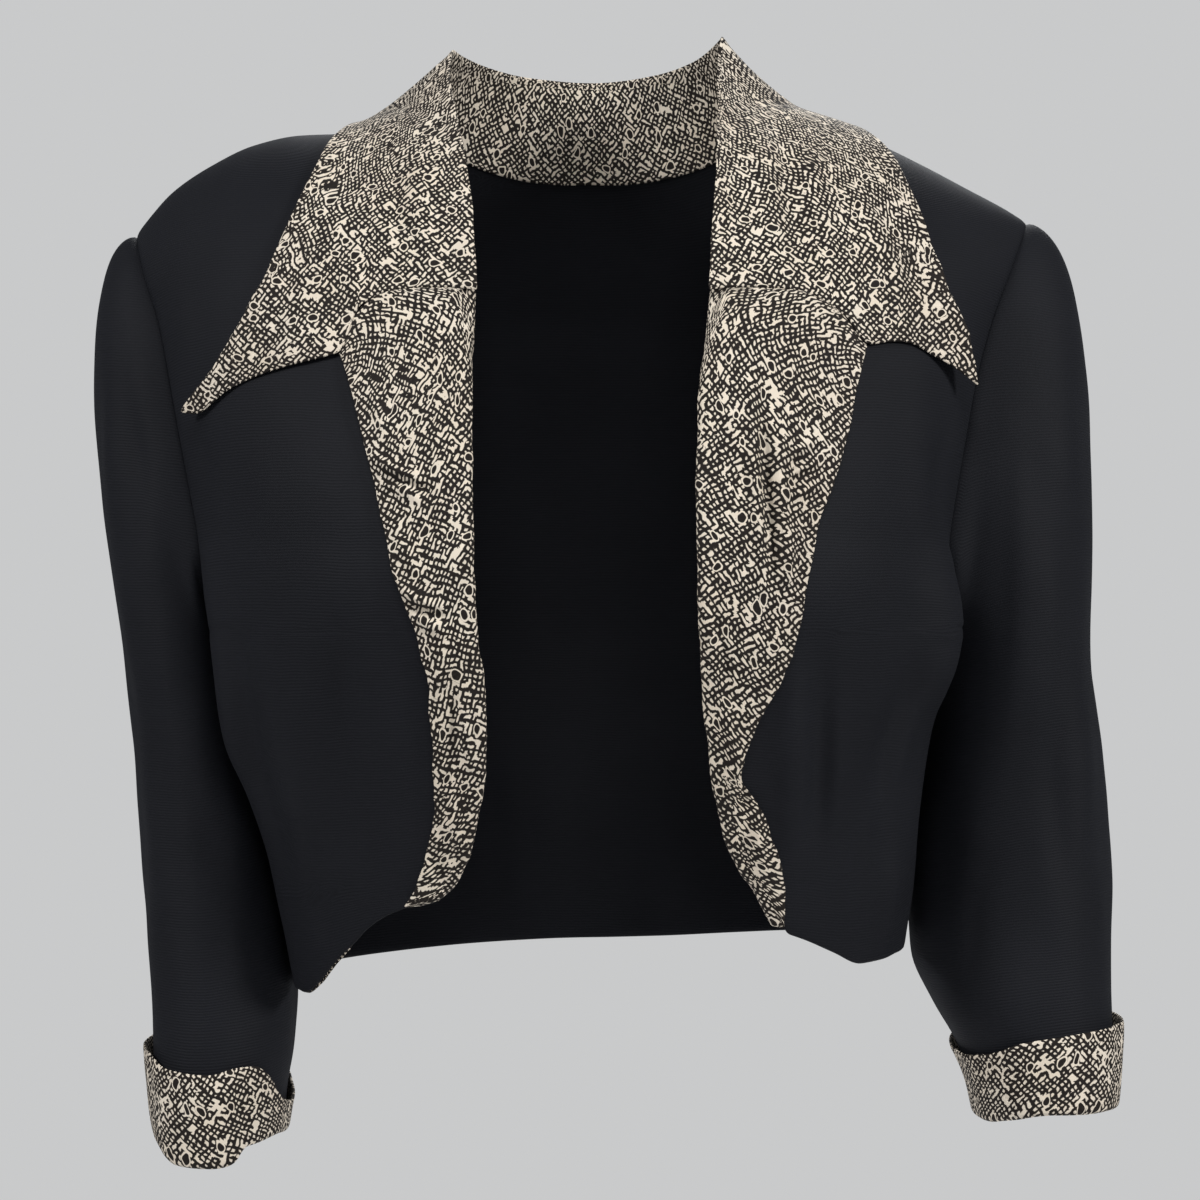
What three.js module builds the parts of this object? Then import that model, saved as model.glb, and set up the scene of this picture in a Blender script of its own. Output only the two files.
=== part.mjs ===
import * as THREE from "three";

// A bolero jacket, open in front, in the hollow form that it has when it is worn.
// Millimetres, Z up. The front faces -Y, and +X is the wearer's left.
// The origin lies midway between the shoulders, at the level of the side neck points.

// Cloth and seams
const CLOTH = 1.4; // one layer of cloth
const SEAM_GAP = 0.4; // between the edges of two pieces that are sewn together
const LAYER_GAP = 0.9; // between a panel and the band that lies on it

// Levels and lines of the body of the jacket
const UNDERARM = -231;
const BUST_LEVEL = -190;
const NECK_HALF = 75; // centre to side neck point, along the shoulder seam
const GORGE = -86; // where the seam of collar and lapel meets the roll line
const CHEST_ROUND = 1.7; // power of the arch from the bust over the shoulder
const BACK_ROUND = 2.3; // the same for the back, which is fuller
const GIRTH_ROUND = 2.4; // power of the oval round the body
const NECK_DIP = 0.83; // share of the back's height that is left at the centre of the neck
const ARM_WIDTH = { front: 38, back: 62 }; // how far round the side seam the arm presses
const UNDER_FRONT = 0.39; // depth of the armhole in front, as a share of the chest's
const UNDER_BACK = 0.62; // depth of the armhole behind, as a share of the back's

// Sections round the body, from the hem up to the bust. right and left are half widths.
const BODY = [
  { z: -400, right: 138, left: 146, front: 96, back: 71, press: 5 },
  { z: -372, right: 143.5, left: 149.5, front: 103, back: 73, press: 8 },
  { z: -335, right: 151, left: 154.5, front: 112, back: 77, press: 12 },
  { z: -300, right: 162, left: 158, front: 121, back: 83, press: 16 },
  { z: -276, right: 170, left: 161, front: 127, back: 87, press: 18 },
  { z: -248, right: 174.5, left: 163, front: 131, back: 91, press: 20 },
  { z: -231, right: 176.5, left: 164, front: 133, back: 93, press: 20 },
  { z: -210, right: 180, left: 166, front: 134, back: 94, press: 14 },
  { z: -190, right: 183, left: 168, front: 133, back: 95, press: 8 },
];

// Half widths above the bust. up runs from 0 at the bust to 1 on the shoulder seam.
const REACH = [
  { up: 0, right: 183, left: 168, press: 8 },
  { up: 0.25, right: 191, left: 175, press: 2 },
  { up: 0.44, right: 197, left: 181, press: 0 },
  { up: 0.61, right: 203, left: 189, press: 0 },
  { up: 0.78, right: 211, left: 199, press: 0 },
  { up: 1, right: 219, left: 211, press: 0 },
];

// Height of the shoulder seam
const SHOULDER = [
  { x: 0, right: 20, left: 20 },
  { x: 50, right: 15, left: 15 },
  { x: 75, right: 8, left: 8 },
  { x: 92, right: 3, left: 4 },
  { x: 108, right: -2.5, left: 0 },
  { x: 133, right: -3.5, left: -8 },
  { x: 154, right: -8, left: -18 },
  { x: 173, right: -17, left: -28 },
  { x: 191, right: -29, left: -37.5 },
  { x: 202, right: -41, left: -44.5 },
  { x: 212, right: -54, left: -52 },
];

// The fold of each front edge, from the hem up to the gorge
const FRONT_EDGE = [
  { z: -359, right: 84, left: 79.5 },
  { z: -347.5, right: 74, left: 73 },
  { z: -343, right: 61.5, left: 70.5 },
  { z: -331, right: 53.5, left: 63 },
  { z: -313, right: 48, left: 55.3 },
  { z: -292, right: 44.3, left: 50.9 },
  { z: -271, right: 43, left: 48.3 },
  { z: -250, right: 44, left: 46.4 },
  { z: -225, right: 47, left: 45.1 },
  { z: -190, right: 48.5, left: 44 },
  { z: -142, right: 49, left: 44.9 },
  { z: -112, right: 49, left: 48 },
  { z: -86, right: 48.7, left: 51 },
];

// The free edge of each lapel, from the hem up to the notch
const LAPEL_EDGE = [
  { z: -357, right: 86, left: 80.8 },
  { z: -348, right: 79, left: 82 },
  { z: -335, right: 71.6, left: 81.3 },
  { z: -318, right: 67.2, left: 76.4 },
  { z: -303, right: 65.2, left: 70.3 },
  { z: -290, right: 65.1, left: 62.3 },
  { z: -275, right: 65.5, left: 66.5 },
  { z: -250, right: 67.1, left: 79 },
  { z: -229, right: 72.5, left: 85.9 },
  { z: -213, right: 78.7, left: 88.5 },
  { z: -188, right: 85, left: 94 },
  { z: -163, right: 90.6, left: 103.5 },
  { z: -133, right: 97, left: 110.7 },
  { z: -112, right: 103, left: 116.3 },
];

// The hem of the fronts, from the front edge to the side seam
const FRONT_HEM = [
  { x: 70, right: -347, left: -356 },
  { x: 80, right: -350.5, left: -359 },
  { x: 91, right: -363, left: -363 },
  { x: 104, right: -373, left: -369 },
  { x: 119, right: -385.5, left: -375.5 },
  { x: 130, right: -391, left: -375 },
  { x: 137, right: -391, left: -373.5 },
];
const HEM_SIDE = { right: -389, left: -372.5 };
const HEM_BACK = -381; // hem at the centre of the back

// The roll line of the collar, from the gorge over the shoulder to the centre of the back
const COLLAR_ROLL = [
  { way: 0, right: [48.7, -110, -86], left: [51, -110, -86] },
  { way: 0.14, right: [50.6, -93, -54], left: [53.5, -93, -54] },
  { way: 0.29, right: [55, -70, -24], left: [56, -70, -24] },
  { way: 0.42, right: [60.5, -43, 2], left: [57, -43, 2] },
  { way: 0.53, right: [64, -18, 23], left: [58, -18, 24] },
  { way: 0.63, right: [62.5, 3, 36.5], left: [60, 3, 42.5] },
  { way: 0.76, right: [53, 29, 35], left: [52, 29, 38] },
  { way: 0.88, right: [30, 49, 32], left: [30, 49, 33] },
  { way: 1, right: [0, 57, 31], left: [0, 57, 31] },
  { way: 1.12, right: [-30, 49, 32], left: [-30, 49, 33] },
];

// The outer edge of the collar, from its point over the shoulder to the centre of the back
const COLLAR_EDGE = [
  { way: 0, right: [179.2, -70, -135.5], left: [169.3, -72, -124.5] },
  { way: 0.14, right: [158.9, -80, -110.4], left: [165, -73, -102] },
  { way: 0.29, right: [142, -78, -82], left: [155, -68, -76] },
  { way: 0.42, right: [126, -56, -47], left: [145, -50, -47] },
  { way: 0.53, right: [115, -28, -20], left: [133, -26, -20] },
  { way: 0.63, right: [105, 4, 2], left: [115, 4, 0] },
  { way: 0.76, right: [88, 48, -14], left: [92, 48, -16] },
  { way: 0.88, right: [50, 72, -36], left: [50, 72, -36] },
  { way: 1, right: [0, 78, -42], left: [0, 78, -42] },
  { way: 1.12, right: [-50, 72, -36], left: [-50, 72, -36] },
];

// The bottom edge of the collar, one row for each line across it. Away is its share of the straight
// way from the gorge to the point, and rise is how far the edge lies above that way.
const COLLAR_BOTTOM = [
  { line: 0, rightAway: 0.06, rightRise: 3, leftAway: 0.06, leftRise: 2.5 },
  { line: 1, rightAway: 0.18, rightRise: 9, leftAway: 0.2, leftRise: 8 },
  { line: 2, rightAway: 0.3, rightRise: 13, leftAway: 0.35, leftRise: 12 },
  { line: 3, rightAway: 0.38, rightRise: 9, leftAway: 0.47, leftRise: 8 },
  { line: 4, rightAway: 0.435, rightRise: -6, leftAway: 0.56, leftRise: -1.5 },
  { line: 5, rightAway: 0.58, rightRise: -4, leftAway: 0.66, leftRise: 3 },
  { line: 6, rightAway: 0.75, rightRise: -5.5, leftAway: 0.78, leftRise: 6.5 },
  { line: 7, rightAway: 0.89, rightRise: -6, leftAway: 0.9, leftRise: 5 },
  { line: 8, rightAway: 1, rightRise: 0, leftAway: 1, leftRise: 0 },
];
const SHOULDER_WAY = 0.63; // where the roll line passes over the shoulder
const COLLAR_HOLLOW = { right: 2, left: 7 }; // how far the fall sags between roll and edge
const STAND_INSET = { gorge: 3.6, neck: 2.4 }; // from the neckline in to the foot of the collar's stand
const NOTCH_LINE = 4; // the line that ends where collar and lapel part

// Sections across the sleeves below the underarm. outer and inner are distances from the centre.
const SLEEVE = [
  { z: -475, rightOuter: 192, rightInner: 141, leftOuter: 233, leftInner: 180, middle: -18, depth: 84 },
  { z: -440, rightOuter: 195.5, rightInner: 139.5, leftOuter: 235.5, leftInner: 176, middle: -16, depth: 87 },
  { z: -419, rightOuter: 197, rightInner: 136, leftOuter: 237, leftInner: 169, middle: -12, depth: 92 },
  { z: -400, rightOuter: 198.5, rightInner: 134.5, leftOuter: 237.5, leftInner: 158, middle: -8, depth: 96 },
  { z: -378, rightOuter: 200, rightInner: 135, leftOuter: 237.5, leftInner: 149, middle: -4, depth: 100 },
  { z: -332, rightOuter: 203, rightInner: 141, leftOuter: 236.5, leftInner: 148, middle: 3, depth: 108 },
  { z: -286, rightOuter: 207.5, rightInner: 151, leftOuter: 234, leftInner: 153, middle: 9, depth: 118 },
  { z: -250, rightOuter: 213, rightInner: 157, leftOuter: 229.5, leftInner: 157, middle: 12, depth: 126 },
];
const ARM_GAP = 1.2; // between the side of the body and the sleeve that hangs against it
const SLEEVE_ROUND = 2.2; // power of the oval across a sleeve
const BICEP = -250; // level of the highest whole section

// How the sleeve's crown leaves the shoulder and comes down to the bicep: outwards and upwards
const CROWN = {
  right: { leave: [24, -7], land: [16, 104] },
  left: { leave: [28, -10], land: [1, 120] },
};

// Edges of the turned-back cuffs by the angle round the sleeve: 0 faces the body, 90 the front
const CUFF = [
  { angle: 0, rightTop: -444, rightEnd: -457, leftTop: -420, leftEnd: -450 },
  { angle: 25, rightTop: -439, rightEnd: -455, leftTop: -420, leftEnd: -449 },
  { angle: 45, rightTop: -427, rightEnd: -456, leftTop: -418, leftEnd: -446.5 },
  { angle: 60, rightTop: -422, rightEnd: -457, leftTop: -415, leftEnd: -444.5 },
  { angle: 72, rightTop: -422, rightEnd: -464, leftTop: -412, leftEnd: -443 },
  { angle: 90, rightTop: -425, rightEnd: -465.5, leftTop: -409.5, leftEnd: -442 },
  { angle: 120, rightTop: -423.5, rightEnd: -465, leftTop: -407, leftEnd: -442 },
  { angle: 150, rightTop: -418, rightEnd: -458, leftTop: -406, leftEnd: -443 },
  { angle: 180, rightTop: -416.5, rightEnd: -453, leftTop: -406.5, leftEnd: -444.5 },
  { angle: 225, rightTop: -417, rightEnd: -453, leftTop: -407, leftEnd: -445 },
  { angle: 270, rightTop: -421, rightEnd: -456, leftTop: -411, leftEnd: -446 },
  { angle: 315, rightTop: -433, rightEnd: -457, leftTop: -416, leftEnd: -448 },
  { angle: 360, rightTop: -444, rightEnd: -457, leftTop: -420, leftEnd: -450 },
];
const CUFF_FLARE = 1.6; // how much further its free edge stands off the sleeve
const CUFF_TUCK = 3; // the sleeve ends this far above the cuff's turn

// The largest soft folds. A height below zero is a trough; places are x and z as seen from the front.
const FRONT_FOLDS = {
  right: [
    { from: [166, -196], to: [142, -372], bow: 3, width: 9, height: 3.2 },
    { from: [151, -236], to: [134, -330], bow: 4, width: 8, height: -3.4 },
    { from: [104, -232], to: [96, -285], bow: 3, width: 9, height: -1.4 },
    { from: [182, -80], to: [178, -112], bow: 0, width: 7, height: 1.6 },
  ],
  left: [
    { from: [159, -226], to: [150, -262], bow: -4, width: 12, height: 5.5 },
    { from: [149, -231], to: [146, -242], bow: 0, width: 6, height: -3 },
    { from: [138, -246], to: [122, -318], bow: -3, width: 9, height: -2.6 },
    { from: [97, -238], to: [97, -318], bow: 0, width: 7, height: -2.6 },
    { from: [85, -258], to: [87, -322], bow: 0, width: 7, height: 1.8 },
    { from: [142, -126], to: [152, -208], bow: -3, width: 8, height: 2.2 },
    { from: [132, -330], to: [130, -366], bow: 0, width: 6, height: 2 },
  ],
};
const SLEEVE_FOLDS = {
  right: [
    { from: [214, -100], to: [199, -236], bow: 3, width: 9, height: -3.2 },
    { from: [184, -330], to: [172, -405], bow: 2, width: 10, height: 2.4 },
    { from: [152, -330], to: [150, -410], bow: 0, width: 8, height: -2.6 },
  ],
  left: [
    { from: [186, -141], to: [178, -322], bow: 4, width: 8, height: 3.4 },
    { from: [198, -252], to: [168, -382], bow: 6, width: 10, height: -4 },
    { from: [230, -352], to: [211, -406], bow: 2, width: 8, height: -2 },
    { from: [186, -384], to: [184, -412], bow: 0, width: 8, height: 2.6 },
  ],
};
const BUST_POINT = { x: 88, z: -218, wide: 46, tall: 52, full: 7 };

// How finely each piece is divided
const ROWS = { skirt: 8, scye: 4, chest: 8 };
const COLUMNS = { front: 14, backNeck: 3, backSide: 7 };
const SLEEVE_STEPS = { crown: 7, arm: 8 };
const CUFF_STEPS = { round: 30, up: 2 };
const LAPEL_STEPS = { along: 22, inside: 2 };
const COLLAR_STEPS = { half: 15, stand: 3 };
const TURN_STEPS = 4; // round a fold
const EDGE_INSET = 4.6; // the front's own edge lies this far inside the fold of the lapel
const LAPEL_TURN = 4; // from the fold of the lapel to where it lies flat
const RETURN_WIDTH = 10; // how far the lapel band goes back inside the front edge
const LEVEL_SAMPLES = 60; // along a stretch of a level, before its points are spaced evenly
const NECK_SAMPLES = 40; // along half of the neckline
const SEAM_SAMPLES = 200; // along the neck seam, where the collar's lines may start
const TOP_LEVEL = 0.9999; // the highest level that still has some depth

const SIGN = { right: -1, left: 1 };

const FABRIC = new THREE.MeshStandardMaterial({ color: 0x1b1d21, roughness: 0.82, metalness: 0 });
const PRINT = new THREE.MeshStandardMaterial({ color: 0x8d8068, roughness: 0.85, metalness: 0 });

// A column of a table at any place, along a curve that never swings past its rows.
function read(rows, key, at, column) {
  const last = rows.length - 1;
  if (at <= rows[0][key]) return rows[0][column];
  if (at >= rows[last][key]) return rows[last][column];
  let i = 0;
  while (rows[i + 1][key] < at) i += 1;
  const span = (k) => rows[k + 1][key] - rows[k][key];
  const slope = (k) => (rows[k + 1][column] - rows[k][column]) / span(k);
  const tangent = (k) => {
    if (k === 0 || k === last) return slope(Math.min(k, last - 1));
    const product = slope(k - 1) * slope(k);
    return product <= 0 ? 0 : (2 * product) / (slope(k - 1) + slope(k));
  };
  const u = (at - rows[i][key]) / span(i);
  const rise = rows[i + 1][column] - rows[i][column];
  const blend = u * u * (3 - 2 * u);
  const leave = u * (1 - u) * (1 - u) * tangent(i) * span(i);
  const land = u * u * (u - 1) * tangent(i + 1) * span(i);
  return rows[i][column] + rise * blend + leave + land;
}

// The same for a column that holds a point.
function readPoint(rows, key, at, column) {
  const parts = [0, 1, 2].map((axis) => {
    const single = rows.map((row) => ({ [key]: row[key], value: row[column][axis] }));
    return read(single, key, at, "value");
  });
  return new THREE.Vector3(...parts);
}

const mix = (a, b, t) => a + (b - a) * t;
const smooth = (t) => THREE.MathUtils.smoothstep(t, 0, 1);
const bell = (distance, width) => Math.exp(-((distance / width) ** 2));

// Points at equal steps along a path.
function evenly(path, steps) {
  const length = [0];
  for (let i = 1; i < path.length; i += 1) length.push(length[i - 1] + path[i].distanceTo(path[i - 1]));
  const points = [];
  let k = 0;
  for (let i = 0; i <= steps; i += 1) {
    const want = (length[path.length - 1] * i) / steps;
    while (k < path.length - 2 && length[k + 1] < want) k += 1;
    const t = (want - length[k]) / (length[k + 1] - length[k]);
    points.push(path[k].clone().lerp(path[k + 1], Math.min(1, Math.max(0, t))));
  }
  return points;
}

// How far a set of folds lifts the cloth at x and z. Each fold bows sideways and fades at its ends.
function foldLift(folds, x, z) {
  let lift = 0;
  for (const fold of folds) {
    const run = new THREE.Vector2(fold.to[0] - fold.from[0], fold.to[1] - fold.from[1]);
    const place = new THREE.Vector2(x - fold.from[0], z - fold.from[1]);
    const t = Math.min(1, Math.max(0, place.dot(run) / run.lengthSq()));
    const beside = run.clone().normalize().cross(place) - fold.bow * 4 * t * (1 - t);
    const beyond = place.dot(run) / run.length() - t * run.length();
    const strength = 0.35 + 0.65 * Math.sin(Math.PI * t);
    lift += fold.height * strength * bell(beside, fold.width) * bell(beyond, fold.width);
  }
  return lift;
}

// A level of the body: from the hem to the bust it is a height, and above the bust the share of the
// way up to the shoulder seam.
function bodyLevel(side, face, z, up) {
  const above = up > 0;
  const round = face === "front" ? CHEST_ROUND : BACK_ROUND;
  const full = above ? BUST_LEVEL : z;
  const arch = above ? (1 - Math.min(1, up) ** round) ** (1 / round) : 1;
  return {
    side,
    face,
    z,
    up: above ? up : 0,
    above,
    depth: read(BODY, "z", full, face) * arch,
    reach: above ? read(REACH, "up", up, side) : read(BODY, "z", z, side),
    press: above ? read(REACH, "up", up, "press") : read(BODY, "z", z, "press"),
  };
}

// The point of a level at an angle from the centre line round to the side.
function bodyPoint(level, angle, up = level.up) {
  const power = 2 / GIRTH_ROUND;
  const out = level.reach * Math.sin(angle) ** power;
  const back = level.depth * Math.max(0, Math.cos(angle)) ** power;
  const x = out - level.press * bell(back, ARM_WIDTH[level.face]);
  const top = read(SHOULDER, "x", out, level.side);
  const z = level.above ? mix(BUST_LEVEL, top, up) : level.z;
  let y = level.face === "front" ? -back : back;
  if (level.face === "front") {
    const chest = bell(x - BUST_POINT.x, BUST_POINT.wide) * bell(z - BUST_POINT.z, BUST_POINT.tall);
    y -= BUST_POINT.full * chest * Math.min(1, back / 60);
  }
  return new THREE.Vector3(SIGN[level.side] * Math.max(0, x), y, z);
}

// The angle at which a level reaches a distance from the centre.
const angleAt = (level, out) => Math.asin(Math.min(1, Math.max(0, out) / level.reach) ** (GIRTH_ROUND / 2));

// The angle at which a panel ends on the armhole, or on the side seam below it.
function endAngle(level) {
  const share = level.face === "front" ? UNDER_FRONT : mix(UNDER_BACK, UNDER_FRONT, level.up ** 2);
  const fall = level.above ? 0 : Math.min(1, (BUST_LEVEL - level.z) / (BUST_LEVEL - UNDERARM));
  const depth = share * Math.sqrt(1 - fall * fall);
  return Math.acos(depth ** (GIRTH_ROUND / 2));
}

// A stretch of a level between two angles, as evenly spaced points.
function stretch(level, from, to, steps) {
  const path = [];
  for (let i = 0; i <= LEVEL_SAMPLES; i += 1) {
    const angle = mix(from, to, i / LEVEL_SAMPLES);
    path.push(bodyPoint(level, angle));
  }
  return evenly(path, steps);
}

// The point of the body's surface at x and z on one face.
function bodyAt(side, face, x, z) {
  const top = read(SHOULDER, "x", x, side);
  const up = z > BUST_LEVEL ? (z - BUST_LEVEL) / (top - BUST_LEVEL) : 0;
  const level = bodyLevel(side, face, Math.min(z, BUST_LEVEL), Math.min(up, TOP_LEVEL));
  let out = x;
  for (let i = 0; i < 3; i += 1) {
    const point = bodyPoint(level, angleAt(level, out));
    out += x - Math.abs(point.x);
  }
  const point = bodyPoint(level, angleAt(level, out));
  return new THREE.Vector3(SIGN[side] * x, point.y, z);
}

// The outward direction of the body at x and z on one face.
function bodyNormal(side, face, x, z) {
  const step = 2;
  const across = bodyAt(side, face, x + step, z).sub(bodyAt(side, face, x - step, z));
  const upward = bodyAt(side, face, x, z + step).sub(bodyAt(side, face, x, z - step));
  const normal = across.cross(upward).normalize();
  const outward = face === "front" ? -1 : 1;
  return normal.y * outward < 0 ? normal.negate() : normal;
}

// Directions of a grid's surface, one for each point. turn is 1 or -1, so that they face out, and
// seams may set a direction right where the piece meets another.
function normalsOf(grid, closed, turn, seams) {
  const rows = grid.length;
  const columns = grid[0].length;
  return grid.map((row, i) =>
    row.map((point, j) => {
      const before = closed ? row[(j + columns - 1) % columns] : row[Math.max(0, j - 1)];
      const after = closed ? row[(j + 1) % columns] : row[Math.min(columns - 1, j + 1)];
      const along = grid[Math.min(rows - 1, i + 1)][j].clone().sub(grid[Math.max(0, i - 1)][j]);
      const normal = along.cross(after.clone().sub(before)).normalize().multiplyScalar(turn);
      return seams(normal, point, i, j).normalize();
    }),
  );
}

// A wall of cloth. Its outer face is the grid, and its inner face lies one thickness behind it.
function clothWall(name, material, grid, closed, turn, seams = (normal) => normal) {
  const rows = grid.length;
  const columns = grid[0].length;
  const normals = normalsOf(grid, closed, turn, seams);
  const positions = [];
  grid.forEach((row) => row.forEach((point) => positions.push(point.x, point.y, point.z)));
  grid.forEach((row, i) =>
    row.forEach((point, j) => {
      const behind = point.clone().addScaledVector(normals[i][j], -CLOTH);
      positions.push(behind.x, behind.y, behind.z);
    }),
  );
  const outer = (i, j) => i * columns + (j % columns);
  const inner = (i, j) => rows * columns + outer(i, j);
  const index = [];
  const quad = (a, b, c, d) => {
    if (turn > 0) index.push(a, b, c, a, c, d);
    else index.push(a, c, b, a, d, c);
  };
  const spans = closed ? columns : columns - 1;
  for (let i = 0; i < rows - 1; i += 1) {
    for (let j = 0; j < spans; j += 1) {
      quad(outer(i, j), outer(i + 1, j), outer(i + 1, j + 1), outer(i, j + 1));
      quad(inner(i, j), inner(i, j + 1), inner(i + 1, j + 1), inner(i + 1, j));
    }
  }
  for (let j = 0; j < spans; j += 1) {
    quad(outer(0, j), outer(0, j + 1), inner(0, j + 1), inner(0, j));
    quad(outer(rows - 1, j + 1), outer(rows - 1, j), inner(rows - 1, j), inner(rows - 1, j + 1));
  }
  if (!closed) {
    for (let i = 0; i < rows - 1; i += 1) {
      quad(outer(i + 1, 0), outer(i, 0), inner(i, 0), inner(i + 1, 0));
      const end = columns - 1;
      quad(outer(i, end), outer(i + 1, end), inner(i + 1, end), inner(i, end));
    }
  }
  const geometry = new THREE.BufferGeometry();
  geometry.setAttribute("position", new THREE.Float32BufferAttribute(positions, 3));
  geometry.setIndex(index);
  geometry.computeVertexNormals();
  const mesh = new THREE.Mesh(geometry, material);
  mesh.name = name;
  return mesh;
}

// On the shoulder and side seams, which lie in the plane between front and back, a wall's edge stays
// in that plane.
function flatOnSeam(normal, point) {
  if (Math.abs(point.y) <= SEAM_GAP) normal.y = 0;
  return normal;
}

// The levels of a panel, from just above the hem to the shoulder seam.
function panelLevels(side, face) {
  const levels = [];
  for (let i = 0; i < ROWS.skirt; i += 1) levels.push({ skirt: i / ROWS.skirt });
  for (let i = 0; i < ROWS.scye; i += 1) {
    const fall = 1 - (i / ROWS.scye) ** 1.3;
    levels.push(bodyLevel(side, face, mix(BUST_LEVEL, UNDERARM, fall), 0));
  }
  for (let i = 0; i <= ROWS.chest; i += 1) {
    const turn = (Math.PI / 2) * (i / ROWS.chest);
    const round = face === "front" ? CHEST_ROUND : BACK_ROUND;
    levels.push(bodyLevel(side, face, BUST_LEVEL, Math.max(1e-4, Math.sin(turn) ** (2 / round))));
  }
  return levels;
}

// The inner edge of a front: under the fold of the lapel, and above the gorge the neckline.
function frontInner(side, z) {
  if (z <= GORGE) return read(FRONT_EDGE, "z", z, side) + EDGE_INSET;
  const top = read(SHOULDER, "x", NECK_HALF, side);
  const rise = (z - GORGE) / (top - GORGE);
  const start = read(FRONT_EDGE, "z", GORGE, side) + EDGE_INSET;
  return mix(start, NECK_HALF, rise ** 2.2);
}

// Lays the folds of a front into a point of it.
function foldFront(side, point) {
  const out = Math.abs(point.x);
  const lift = foldLift(FRONT_FOLDS[side], out, point.z);
  if (Math.abs(lift) < 0.01) return point;
  const direction = new THREE.Vector3(SIGN[side] * 0.45 * smooth((out - 110) / 50), -1, 0).normalize();
  return point.addScaledVector(direction, lift * smooth(-point.y / 30));
}

function frontPanel(side) {
  const face = "front";
  const levels = panelLevels(side, face);
  const grid = levels.map((level, i) => {
    if (i < ROWS.skirt) {
      const row = [];
      const low = FRONT_HEM[0];
      const hemLevel = bodyLevel(side, face, low[side], 0);
      const start = angleAt(hemLevel, frontInner(side, low[side]));
      stretch(hemLevel, start, Math.PI / 2, COLUMNS.front).forEach((mark, j) => {
        const hem = j === COLUMNS.front ? HEM_SIDE[side] : read(FRONT_HEM, "x", Math.abs(mark.x), side);
        const here = bodyLevel(side, face, mix(hem, UNDERARM, level.skirt), 0);
        const from = angleAt(here, frontInner(side, here.z));
        row.push(stretch(here, from, Math.PI / 2, COLUMNS.front)[j]);
      });
      return row;
    }
    let start = frontInner(side, level.z);
    for (let k = 0; k < 4 && level.above; k += 1) {
      const z = mix(BUST_LEVEL, read(SHOULDER, "x", start, side), level.up);
      start = frontInner(side, z);
    }
    return stretch(level, angleAt(level, start), endAngle(level), COLUMNS.front);
  });
  for (const row of grid) {
    for (const point of row) {
      foldFront(side, point);
      point.y -= SEAM_GAP / 2;
    }
  }
  return clothWall("front_" + side, FABRIC, grid, false, side === "right" ? 1 : -1, flatOnSeam);
}

// The back is one piece. Its top edge dips from the shoulder seams to the centre of the neck.
function backHalf(side) {
  const face = "back";
  return panelLevels(side, face).map((level, i) => {
    const row = [];
    if (i < ROWS.skirt) {
      const count = COLUMNS.backNeck + COLUMNS.backSide;
      for (let j = 0; j <= count; j += 1) {
        const low = mix(HEM_BACK, HEM_SIDE[side], smooth(j / count));
        const here = bodyLevel(side, face, mix(low, UNDERARM, level.skirt), 0);
        const split = angleAt(here, (NECK_HALF * here.reach) / read(REACH, "up", 1, side));
        const neck = stretch(here, 0, split, COLUMNS.backNeck);
        const rest = stretch(here, split, Math.PI / 2, COLUMNS.backSide);
        row.push(j <= COLUMNS.backNeck ? neck[j] : rest[j - COLUMNS.backNeck]);
      }
      return row;
    }
    const neckOut = (NECK_HALF * level.reach) / read(REACH, "up", 1, side);
    const dip = (out) => 1 - (1 - NECK_DIP) * Math.sqrt(Math.max(0, 1 - (out / neckOut) ** 2));
    const lowered = (out) => level.up * mix(1, dip(out), level.up ** 2);
    const deep = (out) => bodyLevel(side, face, BUST_LEVEL, Math.max(1e-4, lowered(out))).depth;
    const split = angleAt(level, neckOut);
    const neck = [];
    for (let k = 0; k <= NECK_SAMPLES; k += 1) {
      const out = (neckOut * k) / NECK_SAMPLES;
      const angle = angleAt(level, out);
      const point = bodyPoint(level, angle, level.above ? lowered(out) : 0);
      if (level.above) point.y = deep(out) * Math.max(0, Math.cos(angle)) ** (2 / GIRTH_ROUND);
      neck.push(point);
    }
    const rest = stretch(level, split, endAngle(level), COLUMNS.backSide);
    return evenly(neck, COLUMNS.backNeck).concat(rest.slice(1));
  });
}

function backPanel() {
  const right = backHalf("right");
  const left = backHalf("left");
  const grid = right.map((row, i) => row.slice(1).reverse().concat(left[i]));
  for (const row of grid) {
    for (const point of row) point.y += SEAM_GAP / 2;
  }
  return clothWall("back", FABRIC, grid, false, 1, flatOnSeam);
}

// Points round the armhole of one side, from the underarm up the front, over the shoulder and down
// the back. They are the ends of the panels' own levels.
function armhole(side) {
  const half = (face) => {
    const levels = panelLevels(side, face).slice(ROWS.skirt);
    return levels.map((level) => foldFront(side, bodyPoint(level, endAngle(level))));
  };
  return half("front").concat(half("back").reverse().slice(1, -1));
}

// A point of the sleeve below the underarm. angle 0 faces the body, 90 the front, 180 out.
function sleevePoint(side, z, angle, proud = 0) {
  const outer = read(SLEEVE, "z", z, side + "Outer");
  const inner = read(SLEEVE, "z", z, side + "Inner");
  const depth = read(SLEEVE, "z", z, "depth");
  const power = 2 / SLEEVE_ROUND;
  const swing = (value) => Math.sign(value) * Math.abs(value) ** power;
  const x = (outer + inner) / 2 - ((outer - inner) / 2 + proud) * swing(Math.cos(angle));
  const y = read(SLEEVE, "z", z, "middle") - (depth / 2 + proud) * swing(Math.sin(angle));
  return new THREE.Vector3(SIGN[side] * x, y, z);
}

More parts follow.
